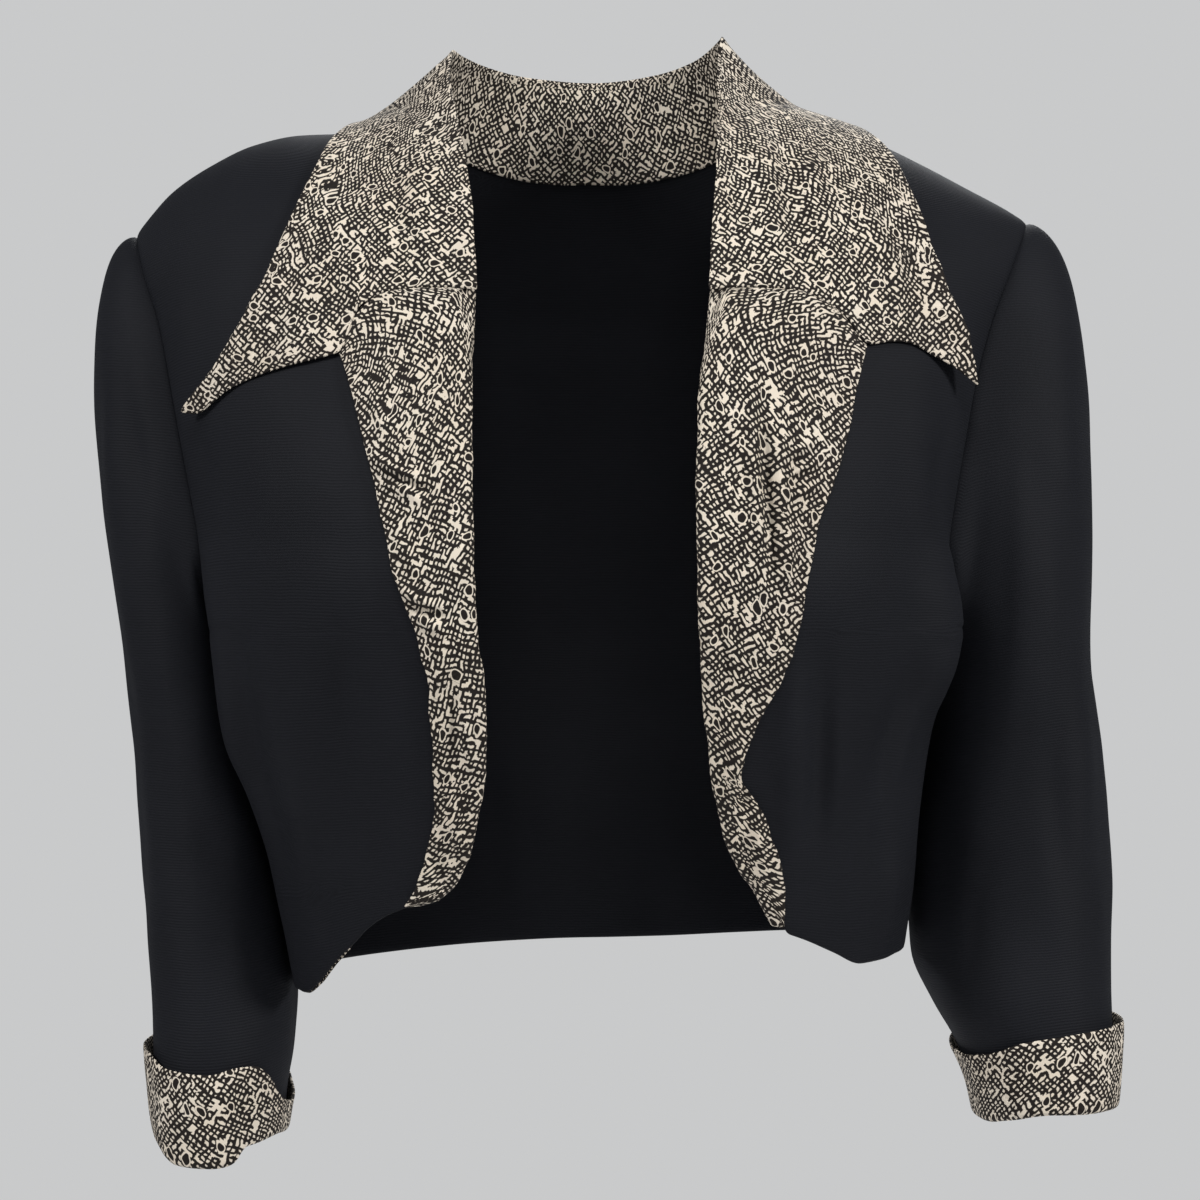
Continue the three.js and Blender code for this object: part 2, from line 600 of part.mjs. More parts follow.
// Moves a point of the sleeve out until it is just clear of the side of the body.
function clearOfSide(side, point) {
  const face = point.y < 0 ? "front" : "back";
  const level = bodyLevel(side, face, Math.min(point.z, BUST_LEVEL), 0);
  const share = Math.min(1, Math.abs(point.y) / level.depth);
  const body = Math.abs(bodyPoint(level, Math.acos(share ** (GIRTH_ROUND / 2))).x) + ARM_GAP;
  const out = Math.abs(point.x);
  const soft = 4;
  const pushed = out > body + soft ? out : body + soft * Math.exp((out - body - soft) / soft);
  point.x = SIGN[side] * Math.max(out, pushed);
  return point;
}

function cuffEdge(side, angle, column) {
  const degrees = ((THREE.MathUtils.radToDeg(angle) % 360) + 360) % 360;
  return read(CUFF, "angle", degrees, side + column);
}

function sleeve(side) {
  const seam = armhole(side);
  const columns = seam.map((from, k) => {
    const angle = (2 * Math.PI * k) / seam.length;
    const high = (1 - Math.cos(angle)) / 2; // 1 over the shoulder, 0 under the arm
    const start = from.clone();
    start.x += SIGN[side] * mix(ARM_GAP, 2 * SEAM_GAP, smooth(high * 3));
    const end = sleevePoint(side, BICEP, angle);
    const crown = CROWN[side];
    const leave = start.clone();
    leave.x += SIGN[side] * crown.leave[0] * high ** 0.8;
    leave.y -= 7 * Math.sin(angle) * high;
    leave.z += mix(-7, crown.leave[1], high ** 2) - 16 * Math.sin(angle) ** 2;
    const land = end.clone();
    land.x += SIGN[side] * crown.land[0] * high ** 1.5;
    land.z += mix(6, crown.land[1], high ** 1.3);
    const curve = new THREE.CubicBezierCurve3(start, leave, land, end);
    const path = curve.getPoints(SLEEVE_STEPS.crown);
    const last = cuffEdge(side, angle, "End") + CUFF_TUCK;
    for (let i = 1; i <= SLEEVE_STEPS.arm; i += 1) {
      path.push(sleevePoint(side, mix(BICEP, last, i / SLEEVE_STEPS.arm), angle));
    }
    const facing = smooth(Math.sin(angle) * 2);
    const behind = smooth(-Math.sin(angle) * 2);
    path.forEach((point, i) => {
      if (i < 2) return;
      const lift = foldLift(SLEEVE_FOLDS[side], Math.abs(point.x), point.z) * (facing + 0.7 * behind);
      point.y += (facing > behind ? -1 : 1) * lift;
      if (point.z < BUST_LEVEL) clearOfSide(side, point);
    });
    return path;
  });
  const grid = columns[0].map((unused, i) => columns.map((column) => column[i]));
  const upright = (normal, point, i) => {
    if (i === 0) normal.x = 0;
    return normal;
  };
  return clothWall("sleeve_" + side, FABRIC, grid, true, side === "right" ? 1 : -1, upright);
}

function cuff(side) {
  const grid = [];
  for (let i = 0; i <= CUFF_STEPS.up; i += 1) {
    const t = i / CUFF_STEPS.up;
    const row = [];
    for (let k = 0; k < CUFF_STEPS.round; k += 1) {
      const angle = (2 * Math.PI * k) / CUFF_STEPS.round;
      const z = mix(cuffEdge(side, angle, "Top"), cuffEdge(side, angle, "End"), t);
      const point = sleevePoint(side, z, angle, CLOTH + LAYER_GAP + CUFF_FLARE * (1 - t));
      const lift = foldLift(SLEEVE_FOLDS[side], Math.abs(point.x), point.z);
      const facing = smooth(Math.sin(angle) * 2);
      const behind = smooth(-Math.sin(angle) * 2);
      point.y += (facing > behind ? -1 : 1) * lift * (facing + 0.7 * behind);
      row.push(point);
    }
    grid.push(row);
  }
  return clothWall("cuff_" + side, PRINT, grid, true, side === "right" ? 1 : -1);
}

// Points round a fold whose two leaves end at inside and outside, with its crest at crest.
function turnOver(inside, crest, outside, steps) {
  const back = inside.clone().add(outside).multiplyScalar(0.5);
  const away = crest.clone().sub(back);
  const half = outside.clone().sub(inside).multiplyScalar(0.5);
  const points = [];
  for (let i = 0; i <= steps; i += 1) {
    const angle = (Math.PI * i) / steps;
    const point = back.clone().addScaledVector(half, -Math.cos(angle));
    points.push(point.addScaledVector(away, Math.sin(angle)));
  }
  return points;
}

// A line across the collar's bottom edge, as x and z. The lines up to the notch are also the seam
// between collar and lapel.
function bottomEdge(side, line) {
  const roll = COLLAR_ROLL[0][side];
  const point = COLLAR_EDGE[0][side];
  const row = COLLAR_BOTTOM[line];
  const away = row[side + "Away"];
  return new THREE.Vector2(mix(roll[0], point[0], away), mix(roll[2], point[2], away) + row[side + "Rise"]);
}

// A point on a front at x and z, moved off the cloth by proud.
function onFront(side, x, z, proud) {
  const point = foldFront(side, bodyAt(side, "front", x, z));
  return point.addScaledVector(bodyNormal(side, "front", x, z), proud);
}

function lapel(side) {
  const bottom = read(FRONT_HEM, "x", FRONT_HEM[0].x, side) + SEAM_GAP;
  const grid = [];
  for (let i = 0; i <= LAPEL_STEPS.along; i += 1) {
    const t = i / LAPEL_STEPS.along;
    const rollZ = mix(bottom, GORGE - SEAM_GAP, t);
    const roll = read(FRONT_EDGE, "z", rollZ, side);
    const edgeZ = mix(bottom, bottomEdge(side, NOTCH_LINE).y - SEAM_GAP, t);
    const edgeX = read(LAPEL_EDGE, "z", edgeZ, side);
    const top = smooth((t - 0.75) / 0.25);
    const outer = [];
    for (let line = 0; line <= NOTCH_LINE; line += 1) {
      const seam = bottomEdge(side, line);
      const share = line / NOTCH_LINE;
      const x = mix(mix(roll + LAPEL_TURN, edgeX, share), seam.x, top);
      const z = mix(mix(rollZ, edgeZ, share), seam.y - 2 * SEAM_GAP, top);
      outer.push(onFront(side, x, z, LAYER_GAP + CLOTH + 0.5 * Math.sin(Math.PI * share)));
    }
    const inner = [];
    const back = RETURN_WIDTH * mix(0.3, 1, smooth(t * 8));
    for (let j = 0; j <= LAPEL_STEPS.inside; j += 1) {
      const x = mix(roll + LAPEL_TURN + back, roll + LAPEL_TURN, j / LAPEL_STEPS.inside);
      inner.push(onFront(side, x, rollZ, -LAYER_GAP - 2 * CLOTH));
    }
    const crest = onFront(side, roll, rollZ, -CLOTH / 2);
    const turn = turnOver(inner[inner.length - 1], crest, outer[0], TURN_STEPS);
    grid.push(inner.slice(0, -1).concat(turn, outer.slice(1)));
  }
  return clothWall("lapel_" + side, PRINT, grid, false, side === "right" ? 1 : -1);
}

// Moves a point of the collar out until it lies at least proud above the shoulder and chest.
function clearOfBody(side, point, proud) {
  const out = Math.abs(point.x);
  const face = point.y < 0 ? "front" : "back";
  const round = face === "front" ? CHEST_ROUND : BACK_ROUND;
  const top = read(SHOULDER, "x", out, side);
  const up = Math.max(0, (point.z - BUST_LEVEL) / (top - BUST_LEVEL));
  const reach = read(REACH, "up", up, side);
  const oval = (1 - Math.min(1, out / reach) ** GIRTH_ROUND) ** (1 / GIRTH_ROUND);
  const depth = read(BODY, "z", BUST_LEVEL, face) * oval;
  const size = ((Math.abs(point.y) / depth) ** round + up ** round) ** (1 / round);
  const length = Math.hypot(point.y, point.z - BUST_LEVEL);
  const want = 1 + proud / length;
  if (size >= want) return point;
  point.y *= want / size;
  point.z = BUST_LEVEL + ((point.z - BUST_LEVEL) * want) / size;
  return point;
}

// The neck seam of one side, from the gorge up the front to the shoulder and round to the back.
function neckSeam(side) {
  const front = [];
  const top = read(SHOULDER, "x", NECK_HALF, side);
  const first = Math.asin(((GORGE - BUST_LEVEL) / (top - BUST_LEVEL)) ** (CHEST_ROUND / 2));
  for (let k = 0; k <= NECK_SAMPLES; k += 1) {
    const up = Math.sin(mix(first, Math.PI / 2, k / NECK_SAMPLES)) ** (2 / CHEST_ROUND);
    const level = bodyLevel(side, "front", BUST_LEVEL, Math.min(up, TOP_LEVEL));
    const x = frontInner(side, mix(BUST_LEVEL, top, up));
    const point = bodyPoint(level, angleAt(level, x));
    front.push(new THREE.Vector3(Math.abs(point.x), point.y, point.z));
  }
  const grid = backHalf(side);
  const back = grid[grid.length - 1].slice(0, COLUMNS.backNeck + 1).reverse();
  back.forEach((point) => {
    point.x = Math.abs(point.x);
  });
  return { front, back };
}

// One cross line of the collar, from the neck seam up the stand, over the roll and down the fall.
function collarLine(side, way, seam) {
  const roll = readPoint(COLLAR_ROLL, "way", way, side);
  const edge = readPoint(COLLAR_EDGE, "way", way, side);
  const path = way < SHOULDER_WAY ? seam.front : seam.back;
  const share = way < SHOULDER_WAY ? way / SHOULDER_WAY : (way - SHOULDER_WAY) / (1 - SHOULDER_WAY);
  const spot = evenly(path, SEAM_SAMPLES)[Math.round(share * SEAM_SAMPLES)];
  const inward = new THREE.Vector3(-spot.x, 10 - spot.y, 0).normalize();
  const inset = mix(STAND_INSET.gorge, STAND_INSET.neck, smooth(way / 0.4));
  const foot = spot.clone().addScaledVector(inward, inset);
  const proud = LAYER_GAP + CLOTH;
  const line = [];
  const inside = roll.clone().lerp(foot, 0.2);
  for (let j = 0; j < COLLAR_STEPS.stand; j += 1) {
    line.push(foot.clone().lerp(inside, j / COLLAR_STEPS.stand));
  }
  const fall = COLLAR_BOTTOM.map((row) => {
    const away = row[side + "Away"];
    const point = roll.clone().lerp(edge, away);
    point.z += row[side + "Rise"] * (1 - smooth(way / 0.3));
    point.z -= COLLAR_HOLLOW[side] * Math.sin(Math.PI * away) * smooth(way / 0.5);
    const lying = Math.max(0, 1 - way / 0.14) * (1 - smooth((away - 0.5) / 0.4));
    const flat = onFront(side, point.x, point.z, proud + 0.5 * Math.sin(Math.PI * away));
    flat.x = Math.abs(flat.x);
    const stand = 1 + 0.8 * Math.sin(Math.PI * away) + 1.6 * smooth(way * 2 - 0.4);
    const over = clearOfBody(side, point, proud + stand);
    return over.lerp(flat, lying);
  });
  const turn = turnOver(inside, roll, fall[0], TURN_STEPS);
  const all = line.concat(turn, fall.slice(1));
  all.forEach((point) => {
    point.x *= SIGN[side];
  });
  return all;
}

function collar() {
  const half = (side) => {
    const seam = neckSeam(side);
    const lines = [];
    for (let i = 0; i <= COLLAR_STEPS.half; i += 1) lines.push(collarLine(side, i / COLLAR_STEPS.half, seam));
    return lines;
  };
  const grid = half("right").concat(half("left").reverse().slice(1));
  return clothWall("collar", PRINT, grid, false, 1);
}

const jacket = new THREE.Group();
jacket.name = "bolero_jacket";
jacket.add(backPanel());
for (const side of ["right", "left"]) {
  jacket.add(frontPanel(side), sleeve(side), cuff(side), lapel(side));
}
jacket.add(collar());

export default jacket;
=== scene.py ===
"""A cropped, open bolero jacket in black ribbed crepe, with a long-pointed collar, lapels and cuffs of
printed crepe. It stands in the hollow form that it has when it is worn, and a studio surrounds it."""

import math
from bisect import bisect_right
from collections import namedtuple

import bmesh
import bpy
import numpy as np
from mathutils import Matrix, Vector, noise


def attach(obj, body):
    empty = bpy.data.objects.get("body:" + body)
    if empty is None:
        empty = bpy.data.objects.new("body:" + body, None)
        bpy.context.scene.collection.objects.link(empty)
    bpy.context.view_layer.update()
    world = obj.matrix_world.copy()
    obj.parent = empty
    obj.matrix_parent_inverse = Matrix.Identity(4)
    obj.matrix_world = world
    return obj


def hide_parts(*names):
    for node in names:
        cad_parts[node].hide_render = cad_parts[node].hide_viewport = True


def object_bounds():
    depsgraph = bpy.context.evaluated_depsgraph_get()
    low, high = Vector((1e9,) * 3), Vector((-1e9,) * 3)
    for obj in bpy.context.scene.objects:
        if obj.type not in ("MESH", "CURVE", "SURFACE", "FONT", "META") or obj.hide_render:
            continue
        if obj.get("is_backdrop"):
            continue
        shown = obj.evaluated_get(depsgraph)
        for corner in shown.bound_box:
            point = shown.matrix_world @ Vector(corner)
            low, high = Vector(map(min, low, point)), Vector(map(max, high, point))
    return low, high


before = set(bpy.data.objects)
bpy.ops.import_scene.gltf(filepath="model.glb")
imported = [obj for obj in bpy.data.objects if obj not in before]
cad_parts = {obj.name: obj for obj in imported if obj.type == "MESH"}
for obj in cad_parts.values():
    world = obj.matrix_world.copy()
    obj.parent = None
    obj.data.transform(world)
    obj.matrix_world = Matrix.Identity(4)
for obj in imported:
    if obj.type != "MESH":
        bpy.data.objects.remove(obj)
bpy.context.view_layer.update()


# The studio is a wide pale floor in an even, pale room. Four soft lamps light it: one on each side, one
# high in front and one behind.
FLOOR_RADIUS, FLOOR_HEIGHT = 3, -1.36
FLOOR_PAINT = (0.84, 0.84, 0.85, 1)
ROOM_SEEN = (0.585, 0.59, 0.595, 1)
ROOM_CAST = (0.15, 0.155, 0.165, 1)
WARM_LIGHT, WARMER_LIGHT, COOL_LIGHT = (1, 0.98, 0.96), (1, 0.98, 0.95), (0.96, 0.98, 1)
CHEST, BACK = (0, 0, -0.2), (0, 0, -0.1)
EYE = (0, -1.3, -0.217)
LENS, SENSOR = 84.78, 36
PHOTO_WIDTH, PHOTO_SHIFT = 1200, 10
FLOOR_ROUGHNESS = 0.85


def in_scene(name, data):
    """A new object of the scene with a mesh, lamp or lens of its own."""
    item = bpy.data.objects.new(name, data)
    bpy.context.scene.collection.objects.link(item)
    return item


floor = bmesh.new()
bmesh.ops.create_circle(floor, cap_ends=True, segments=96, radius=FLOOR_RADIUS)
bmesh.ops.translate(floor, verts=floor.verts, vec=(0, 0, FLOOR_HEIGHT))
floor_mesh = bpy.data.meshes.new("studio_floor")
floor.to_mesh(floor_mesh)
floor.free()
studio_floor = in_scene("studio_floor", floor_mesh)
floor_paint = bpy.data.materials.new("studio_floor")
floor_paint.use_nodes = True
floor_shader = floor_paint.node_tree.nodes["Principled BSDF"]
floor_shader.inputs["Base Color"].default_value = FLOOR_PAINT
floor_shader.inputs["Roughness"].default_value = FLOOR_ROUGHNESS
studio_floor.data.materials.append(floor_paint)
studio_floor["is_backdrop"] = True


def soft_lamp(name, place, aim, width, power, colour):
    """A square lamp of some width in metres and power in watts, aimed at a place."""
    lamp = bpy.data.lights.new(name, "AREA")
    lamp.shape = "SQUARE"
    lamp.size = width
    lamp.energy = power
    lamp.color = colour
    holder = in_scene(name, lamp)
    holder.location = place
    holder.rotation_euler = (Vector(aim) - Vector(place)).to_track_quat("-Z", "Y").to_euler()


soft_lamp("lamp_left", (-1.9, -1.35, 0.9), CHEST, width=0.55, power=36, colour=WARM_LIGHT)
soft_lamp("lamp_right", (1.95, -1.35, 0.8), CHEST, width=0.55, power=42, colour=WARMER_LIGHT)
soft_lamp("lamp_above", (0.1, -1.7, 1.9), CHEST, width=0.9, power=26, colour=WARM_LIGHT)
soft_lamp("lamp_behind", (0.3, 1.9, 1.3), BACK, width=1.3, power=30, colour=COOL_LIGHT)

room = bpy.data.worlds.new("room")
room.use_nodes = True
room_nodes, room_links = room.node_tree.nodes, room.node_tree.links
seen = room_nodes["Background"]
seen.inputs["Color"].default_value = ROOM_SEEN
cast = room_nodes.new("ShaderNodeBackground")
cast.inputs["Color"].default_value = ROOM_CAST
either = room_nodes.new("ShaderNodeMixShader")
room_links.new(room_nodes.new("ShaderNodeLightPath").outputs["Is Camera Ray"], either.inputs[0])
room_links.new(cast.outputs[0], either.inputs[1])
room_links.new(seen.outputs[0], either.inputs[2])
room_links.new(either.outputs[0], room_nodes["World Output"].inputs["Surface"])
bpy.context.scene.world = room
bpy.context.scene.view_settings.view_transform = "Standard"

lens = bpy.data.cameras.new("camera")
lens.lens = LENS
lens.sensor_width = SENSOR
lens.shift_x = PHOTO_SHIFT / PHOTO_WIDTH
camera = in_scene("camera", lens)
camera.location = EYE
camera.rotation_euler = (math.pi / 2, 0, 0)
bpy.context.scene.camera = camera


# The back is one piece of black ribbed crepe, from side seam to side seam. It is sewn to the fronts
# at the shoulders and sides, where its edges turn in, and it hangs free to a turned-up hem.

# Sizes are in millimetres, with x across, y from front to back and z up. A level is a quarter of an oval
# section through the body: from the centre line, in front or behind, out to one side. Above the bust
# the levels rise into the arch of the shoulder.
MM = 0.001
CLOTH = 1.4
SIGN = {"right": -1, "left": 1}
UNDERARM, BUST = -231, -190
GIRTH_ROUND = 2.4
ARCH_ROUND = {"front": 1.7, "back": 2.3}
ARM_WIDTH = {"front": 38, "back": 62}
ARMHOLE_DEPTH = {"front": 0.39, "back": 0.62}
SKIRT_ROWS, SCYE_ROWS, CHEST_ROWS = 26, 12, 24
BUST_ROW = SKIRT_ROWS + SCYE_ROWS
SCYE_CROWDING = 1.3
SPACING_POINTS, NECK_POINTS = 60, 40
LEAST_UP, MOST_UP = 1e-4, 0.9999

# How far a crease reaches in its own widths, how strong it is at its ends, how a cut is eased flat, and
# how cloth turns in where it is sewn.
CREASE_REACH, CREASE_ENDS = 3, 0.35
EASINGS, TUBE_WIDEST = 400, 1.35
SEAM_MERGE, SEAM_TURN, BESIDE_SEAM = 0.2, 0.9, 0.25


def curve(places, values):
    """A smooth curve through the values that never swings past one of them."""
    steps = [(values[i + 1] - values[i]) / (places[i + 1] - places[i]) for i in range(len(places) - 1)]
    inner = [2 * a * b / (a + b) if a * b > 0 else 0 for a, b in zip(steps, steps[1:])]
    slopes = [steps[0], *inner, steps[-1]]

    def at(place):
        if place <= places[0]:
            return values[0]
        if place >= places[-1]:
            return values[-1]
        i = bisect_right(places, place) - 1
        span = places[i + 1] - places[i]
        u = (place - places[i]) / span
        rise = (values[i + 1] - values[i]) * u * u * (3 - 2 * u)
        return values[i] + rise + span * u * (1 - u) * ((1 - u) * slopes[i] - u * slopes[i + 1])

    return at


# The body at its heights: how far out it reaches on each side, how deep it is before and behind, and how
# far the arms press its sides in.
HEIGHTS = [-400, -372, -335, -300, -276, -248, -231, -210, -190]
BODY = {
    "right": curve(HEIGHTS, [138, 143.5, 151, 162, 170, 174.5, 176.5, 180, 183]),
    "left": curve(HEIGHTS, [146, 149.5, 154.5, 158, 161, 163, 164, 166, 168]),
    "front": curve(HEIGHTS, [96, 103, 112, 121, 127, 131, 133, 134, 133]),
    "back": curve(HEIGHTS, [71, 73, 77, 83, 87, 91, 93, 94, 95]),
    "press": curve(HEIGHTS, [5, 8, 12, 16, 18, 20, 20, 14, 8]),
}
# The same above the bust, by the share of the way up, and the shoulder's line from the neck out.
RISES = [0, 0.25, 0.44, 0.61, 0.78, 1]
REACH = {
    "right": curve(RISES, [183, 191, 197, 203, 211, 219]),
    "left": curve(RISES, [168, 175, 181, 189, 199, 211]),
    "press": curve(RISES, [8, 2, 0, 0, 0, 0]),
}
OUTS = [0, 50, 75, 92, 108, 133, 154, 173, 191, 202, 212]
SHOULDER = {
    "right": curve(OUTS, [20, 15, 8, 3, -2.5, -3.5, -8, -17, -29, -41, -54]),
    "left": curve(OUTS, [20, 15, 8, 4, 0, -8, -18, -28, -37.5, -44.5, -52]),
}
BUST_POINT = {"x": 88, "z": -218, "wide": 46, "tall": 52, "full": 7, "fade": 60}
NECK_HALF = 75
NECK_DIP = 0.83
HEM_SIDE = {"right": -389, "left": -372.5}
HEM_BACK = -381

Level = namedtuple("Level", "side face z up depth reach press")


def mix(a, b, t):
    """The value at a share of the way from a to b."""
    return a + (b - a) * t


def smooth(t):
    """A share that starts and ends softly, kept between 0 and 1."""
    t = min(1, max(0, t))
    return t * t * (3 - 2 * t)


def bell(distance, width):
    """A soft hump: 1 in the middle, and a third of that at its width."""
    return math.exp(-((distance / width) ** 2))


def body_level(side, face, z, up=0.0):
    """A level of the jacket's body: a height up to the bust, and above it a share of the way up."""
    if up <= 0:
        return Level(side, face, z, 0, BODY[face](z), BODY[side](z), BODY["press"](z))
    power = ARCH_ROUND[face]
    arch = max(0, 1 - min(1, up) ** power) ** (1 / power)
    return Level(side, face, z, up, BODY[face](BUST) * arch, REACH[side](up), REACH["press"](up))


def body_point(level, angle, up=None):
    """The point of a level at an angle from the centre line round to the side."""
    out = level.reach * max(0, math.sin(angle)) ** (2 / GIRTH_ROUND)
    deep = level.depth * max(0, math.cos(angle)) ** (2 / GIRTH_ROUND)
    x = out - level.press * bell(deep, ARM_WIDTH[level.face])
    z = level.z
    if level.up > 0:
        z = mix(BUST, SHOULDER[level.side](out), level.up if up is None else up)
    if level.face == "back":
        return Vector((SIGN[level.side] * max(0, x), deep, z))
    chest = bell(x - BUST_POINT["x"], BUST_POINT["wide"]) * bell(z - BUST_POINT["z"], BUST_POINT["tall"])
    full = BUST_POINT["full"] * chest * min(1, deep / BUST_POINT["fade"])
    return Vector((SIGN[level.side] * max(0, x), -deep - full, z))


def angle_at(level, out):
    """The angle at which a level is out from the centre line."""
    return math.asin(min(1, max(0, out) / level.reach) ** (GIRTH_ROUND / 2))


def end_angle(level):
    """Where a panel ends on the armhole, or on the side seam below it."""
    share = ARMHOLE_DEPTH["front"]
    if level.face == "back":
        share = mix(ARMHOLE_DEPTH["back"], share, level.up**2)
    fall = 0 if level.up > 0 else min(1, (BUST - level.z) / (BUST - UNDERARM))
    return math.acos((share * math.sqrt(1 - fall * fall)) ** (GIRTH_ROUND / 2))


def lengths_along(path):
    """The length of a path up to each of its points."""
    along = [0]
    for a, b in zip(path, path[1:]):
        along.append(along[-1] + (b - a).length)
    return along


def evenly(path, steps):
    """Points at equal steps along a path."""
    along = lengths_along(path)
    points, k = [], 0
    for i in range(steps + 1):
        want = along[-1] * i / steps
        while k < len(path) - 2 and along[k + 1] < want:
            k += 1
        t = (want - along[k]) / max(1e-9, along[k + 1] - along[k])
        points.append(path[k].lerp(path[k + 1], min(1, max(0, t))))
    return points


def stretch(level, start, end, steps):
    """A stretch of a level between two angles, as evenly spaced points."""
    angles = [mix(start, end, i / SPACING_POINTS) for i in range(SPACING_POINTS + 1)]
    return evenly([body_point(level, angle) for angle in angles], steps)


def panel_levels(side, face):
    """The levels of a panel from the underarm to the shoulder seam, closer together at the seam."""
    levels = []
    for i in range(SCYE_ROWS):
        fall = 1 - (i / SCYE_ROWS) ** SCYE_CROWDING
        levels.append(body_level(side, face, mix(BUST, UNDERARM, fall)))
    for i in [*range(CHEST_ROWS), CHEST_ROWS - 0.5, CHEST_ROWS]:
        turn = math.pi / 2 * i / CHEST_ROWS
        up = math.sin(turn) ** (2 / ARCH_ROUND[face])
        levels.append(body_level(side, face, BUST, max(LEAST_UP, up)))
    return levels


def billow(point, height, fineness, shift=(0, 0, 0)):
    """A soft, uneven rise and fall of the cloth, with its height in millimetres."""
    return height * noise.noise(point * fineness + Vector(shift))


def crease_lift(creases, x, z):
    """How far creases lift the cloth at x and z. Each is x, z to x, z, its bow, width and height."""
    lift = 0
    for x0, z0, x1, z1, bow, width, height in creases:
        run = Vector((x1 - x0, z1 - z0))
        place = Vector((x - x0, z - z0))
        t = min(1, max(0, place.dot(run) / run.length_squared))
        beside = (run.x * place.y - run.y * place.x) / run.length - bow * 4 * t * (1 - t)
        beyond = place.dot(run) / run.length - t * run.length
        if abs(beside) < CREASE_REACH * width and abs(beyond) < CREASE_REACH * width:
            strength = CREASE_ENDS + (1 - CREASE_ENDS) * math.sin(math.pi * t)
            lift += height * strength * bell(beside, width) * bell(beyond, width)
    return lift


def start_tube(lines):
    """A tube's first flat shape: its seam opened, and each column as long as it is, from the last row."""
    columns = len(lines[-1]) - 1
    last = lengths_along(lines[-1])[-1]
    rows = [[Vector((last * j / columns, 0)) for j in range(columns + 1)]]
    for i in range(len(lines) - 2, -1, -1):
        along, row = lengths_along(lines[i]), []
        width = min(along[-1], TUBE_WIDEST * last)
        for j, point in enumerate(lines[i]):
            x = (last - width) / 2 + width * along[j] / along[-1]
            row.append(Vector((x, rows[-1][j].y + (point - lines[i + 1][j]).length)))
        rows.append(row)
    return list(reversed(rows))


def start_panel(lines):
    """An open piece's first flat shape: each row straight, and turned to lie along the row before."""
    origin, angle, rows = Vector((0, 0)), 0.0, []
    for i, line in enumerate(lines):
        along = lengths_along(line)
        run = Vector((math.cos(angle), math.sin(angle)))
        rows.append([origin + run * s for s in along])
        if i + 1 < len(lines):
            rises = []
            for end, way in ((0, line[1] - line[0]), (-1, line[-1] - line[-2])):
                gap = lines[i + 1][end] - line[end]
                rises.append(math.sqrt(max(0, gap.length_squared - gap.dot(way.normalized()) ** 2)))
            shift = (lines[i + 1][0] - line[0]).dot((line[1] - line[0]).normalized())
            origin = origin + run * shift + Vector((-run.y, run.x)) * rises[0]
            angle += (rises[1] - rises[0]) / max(1, along[-1])
    return rows


def lay_flat(lines, weft, closed):
    """The cut of a piece in metres: its cloth eased flat, with the two places of weft on a level."""
    rows = start_tube(lines) if closed else start_panel(lines)
    cloth = np.array([[tuple(point) for point in line] for line in lines])
    flat = np.array([[tuple(point) for point in row] for row in rows])
    height, width = flat.shape[:2]
    # The threads join each place to its neighbours across, along and both ways on the bias.
    threads = []
    for down, over in ((0, 1), (1, 0), (1, 1), (1, -1)):
        near = (slice(0, height - down), slice(max(0, -over), width - max(0, over)))
        far = (slice(down, height), slice(max(0, over), width + min(0, over)))
        threads.append((near, far, np.linalg.norm(cloth[far] - cloth[near], axis=2, keepdims=True)))
    for again in range(EASINGS):
        move, share = np.zeros_like(flat), np.zeros((height, width, 1))
        for near, far, real in threads:
            gap = flat[far] - flat[near]
            size = np.maximum(1e-6, np.linalg.norm(gap, axis=2, keepdims=True))
            pull = gap * (0.5 * (size - real) / size)
            move[near] += pull
            move[far] -= pull
            share[near] += 1
            share[far] += 1
        flat += move / share
    # The cut is turned until its weft lies level.
    level = flat[weft[1]] - flat[weft[0]]
    level /= np.linalg.norm(level)
    return flat @ np.array([[level[0], -level[1]], [level[1], level[0]]]) * MM


def cloth_on(name, lines, flip, lift, weft, closed=False, thick=CLOTH):
    """One layer of cloth whose rows lie on the lines, lifted into creases and given its thickness.
    A flip above 0 turns its faces round, where they would point inwards."""
    rows, columns = len(lines) - 1, len(lines[0]) - 1
    cloth = bmesh.new()
    cut = cloth.loops.layers.uv.new("UVMap")
    bmesh.ops.create_grid(cloth, x_segments=columns, y_segments=rows, size=0.5, calc_uvs=True)
    flat = lay_flat(lines, weft, closed)
    places = {}
    for vert in cloth.verts:
        places[vert] = (round((vert.co.y + 0.5) * rows), round((vert.co.x + 0.5) * columns))
    for face in cloth.faces:
        for loop in face.loops:
            i, j = places[loop.vert]
            loop[cut].uv = flat[i][j]
    for vert, (i, j) in places.items():
        vert.co = lines[i][j]
    if flip > 0:
        bmesh.ops.reverse_faces(cloth, faces=cloth.faces)
    cloth.normal_update()
    moves = {vert: vert.normal * lift(vert.co, *place) for vert, place in places.items()}
    for vert, move in moves.items():
        vert.co = (vert.co + move) * MM
    if closed:
        bmesh.ops.remove_doubles(cloth, verts=cloth.verts, dist=SEAM_MERGE * MM)
    mesh = bpy.data.meshes.new(name)
    cloth.to_mesh(mesh)
    cloth.free()
    mesh.shade_smooth()
    piece = in_scene(name, mesh)
    wall = piece.modifiers.new("thickness", "SOLIDIFY")
    wall.thickness = thick * MM
    wall.offset = -1
    ease = piece.modifiers.new("ease", "SUBSURF")
    ease.levels = ease.render_levels = 1
    return piece


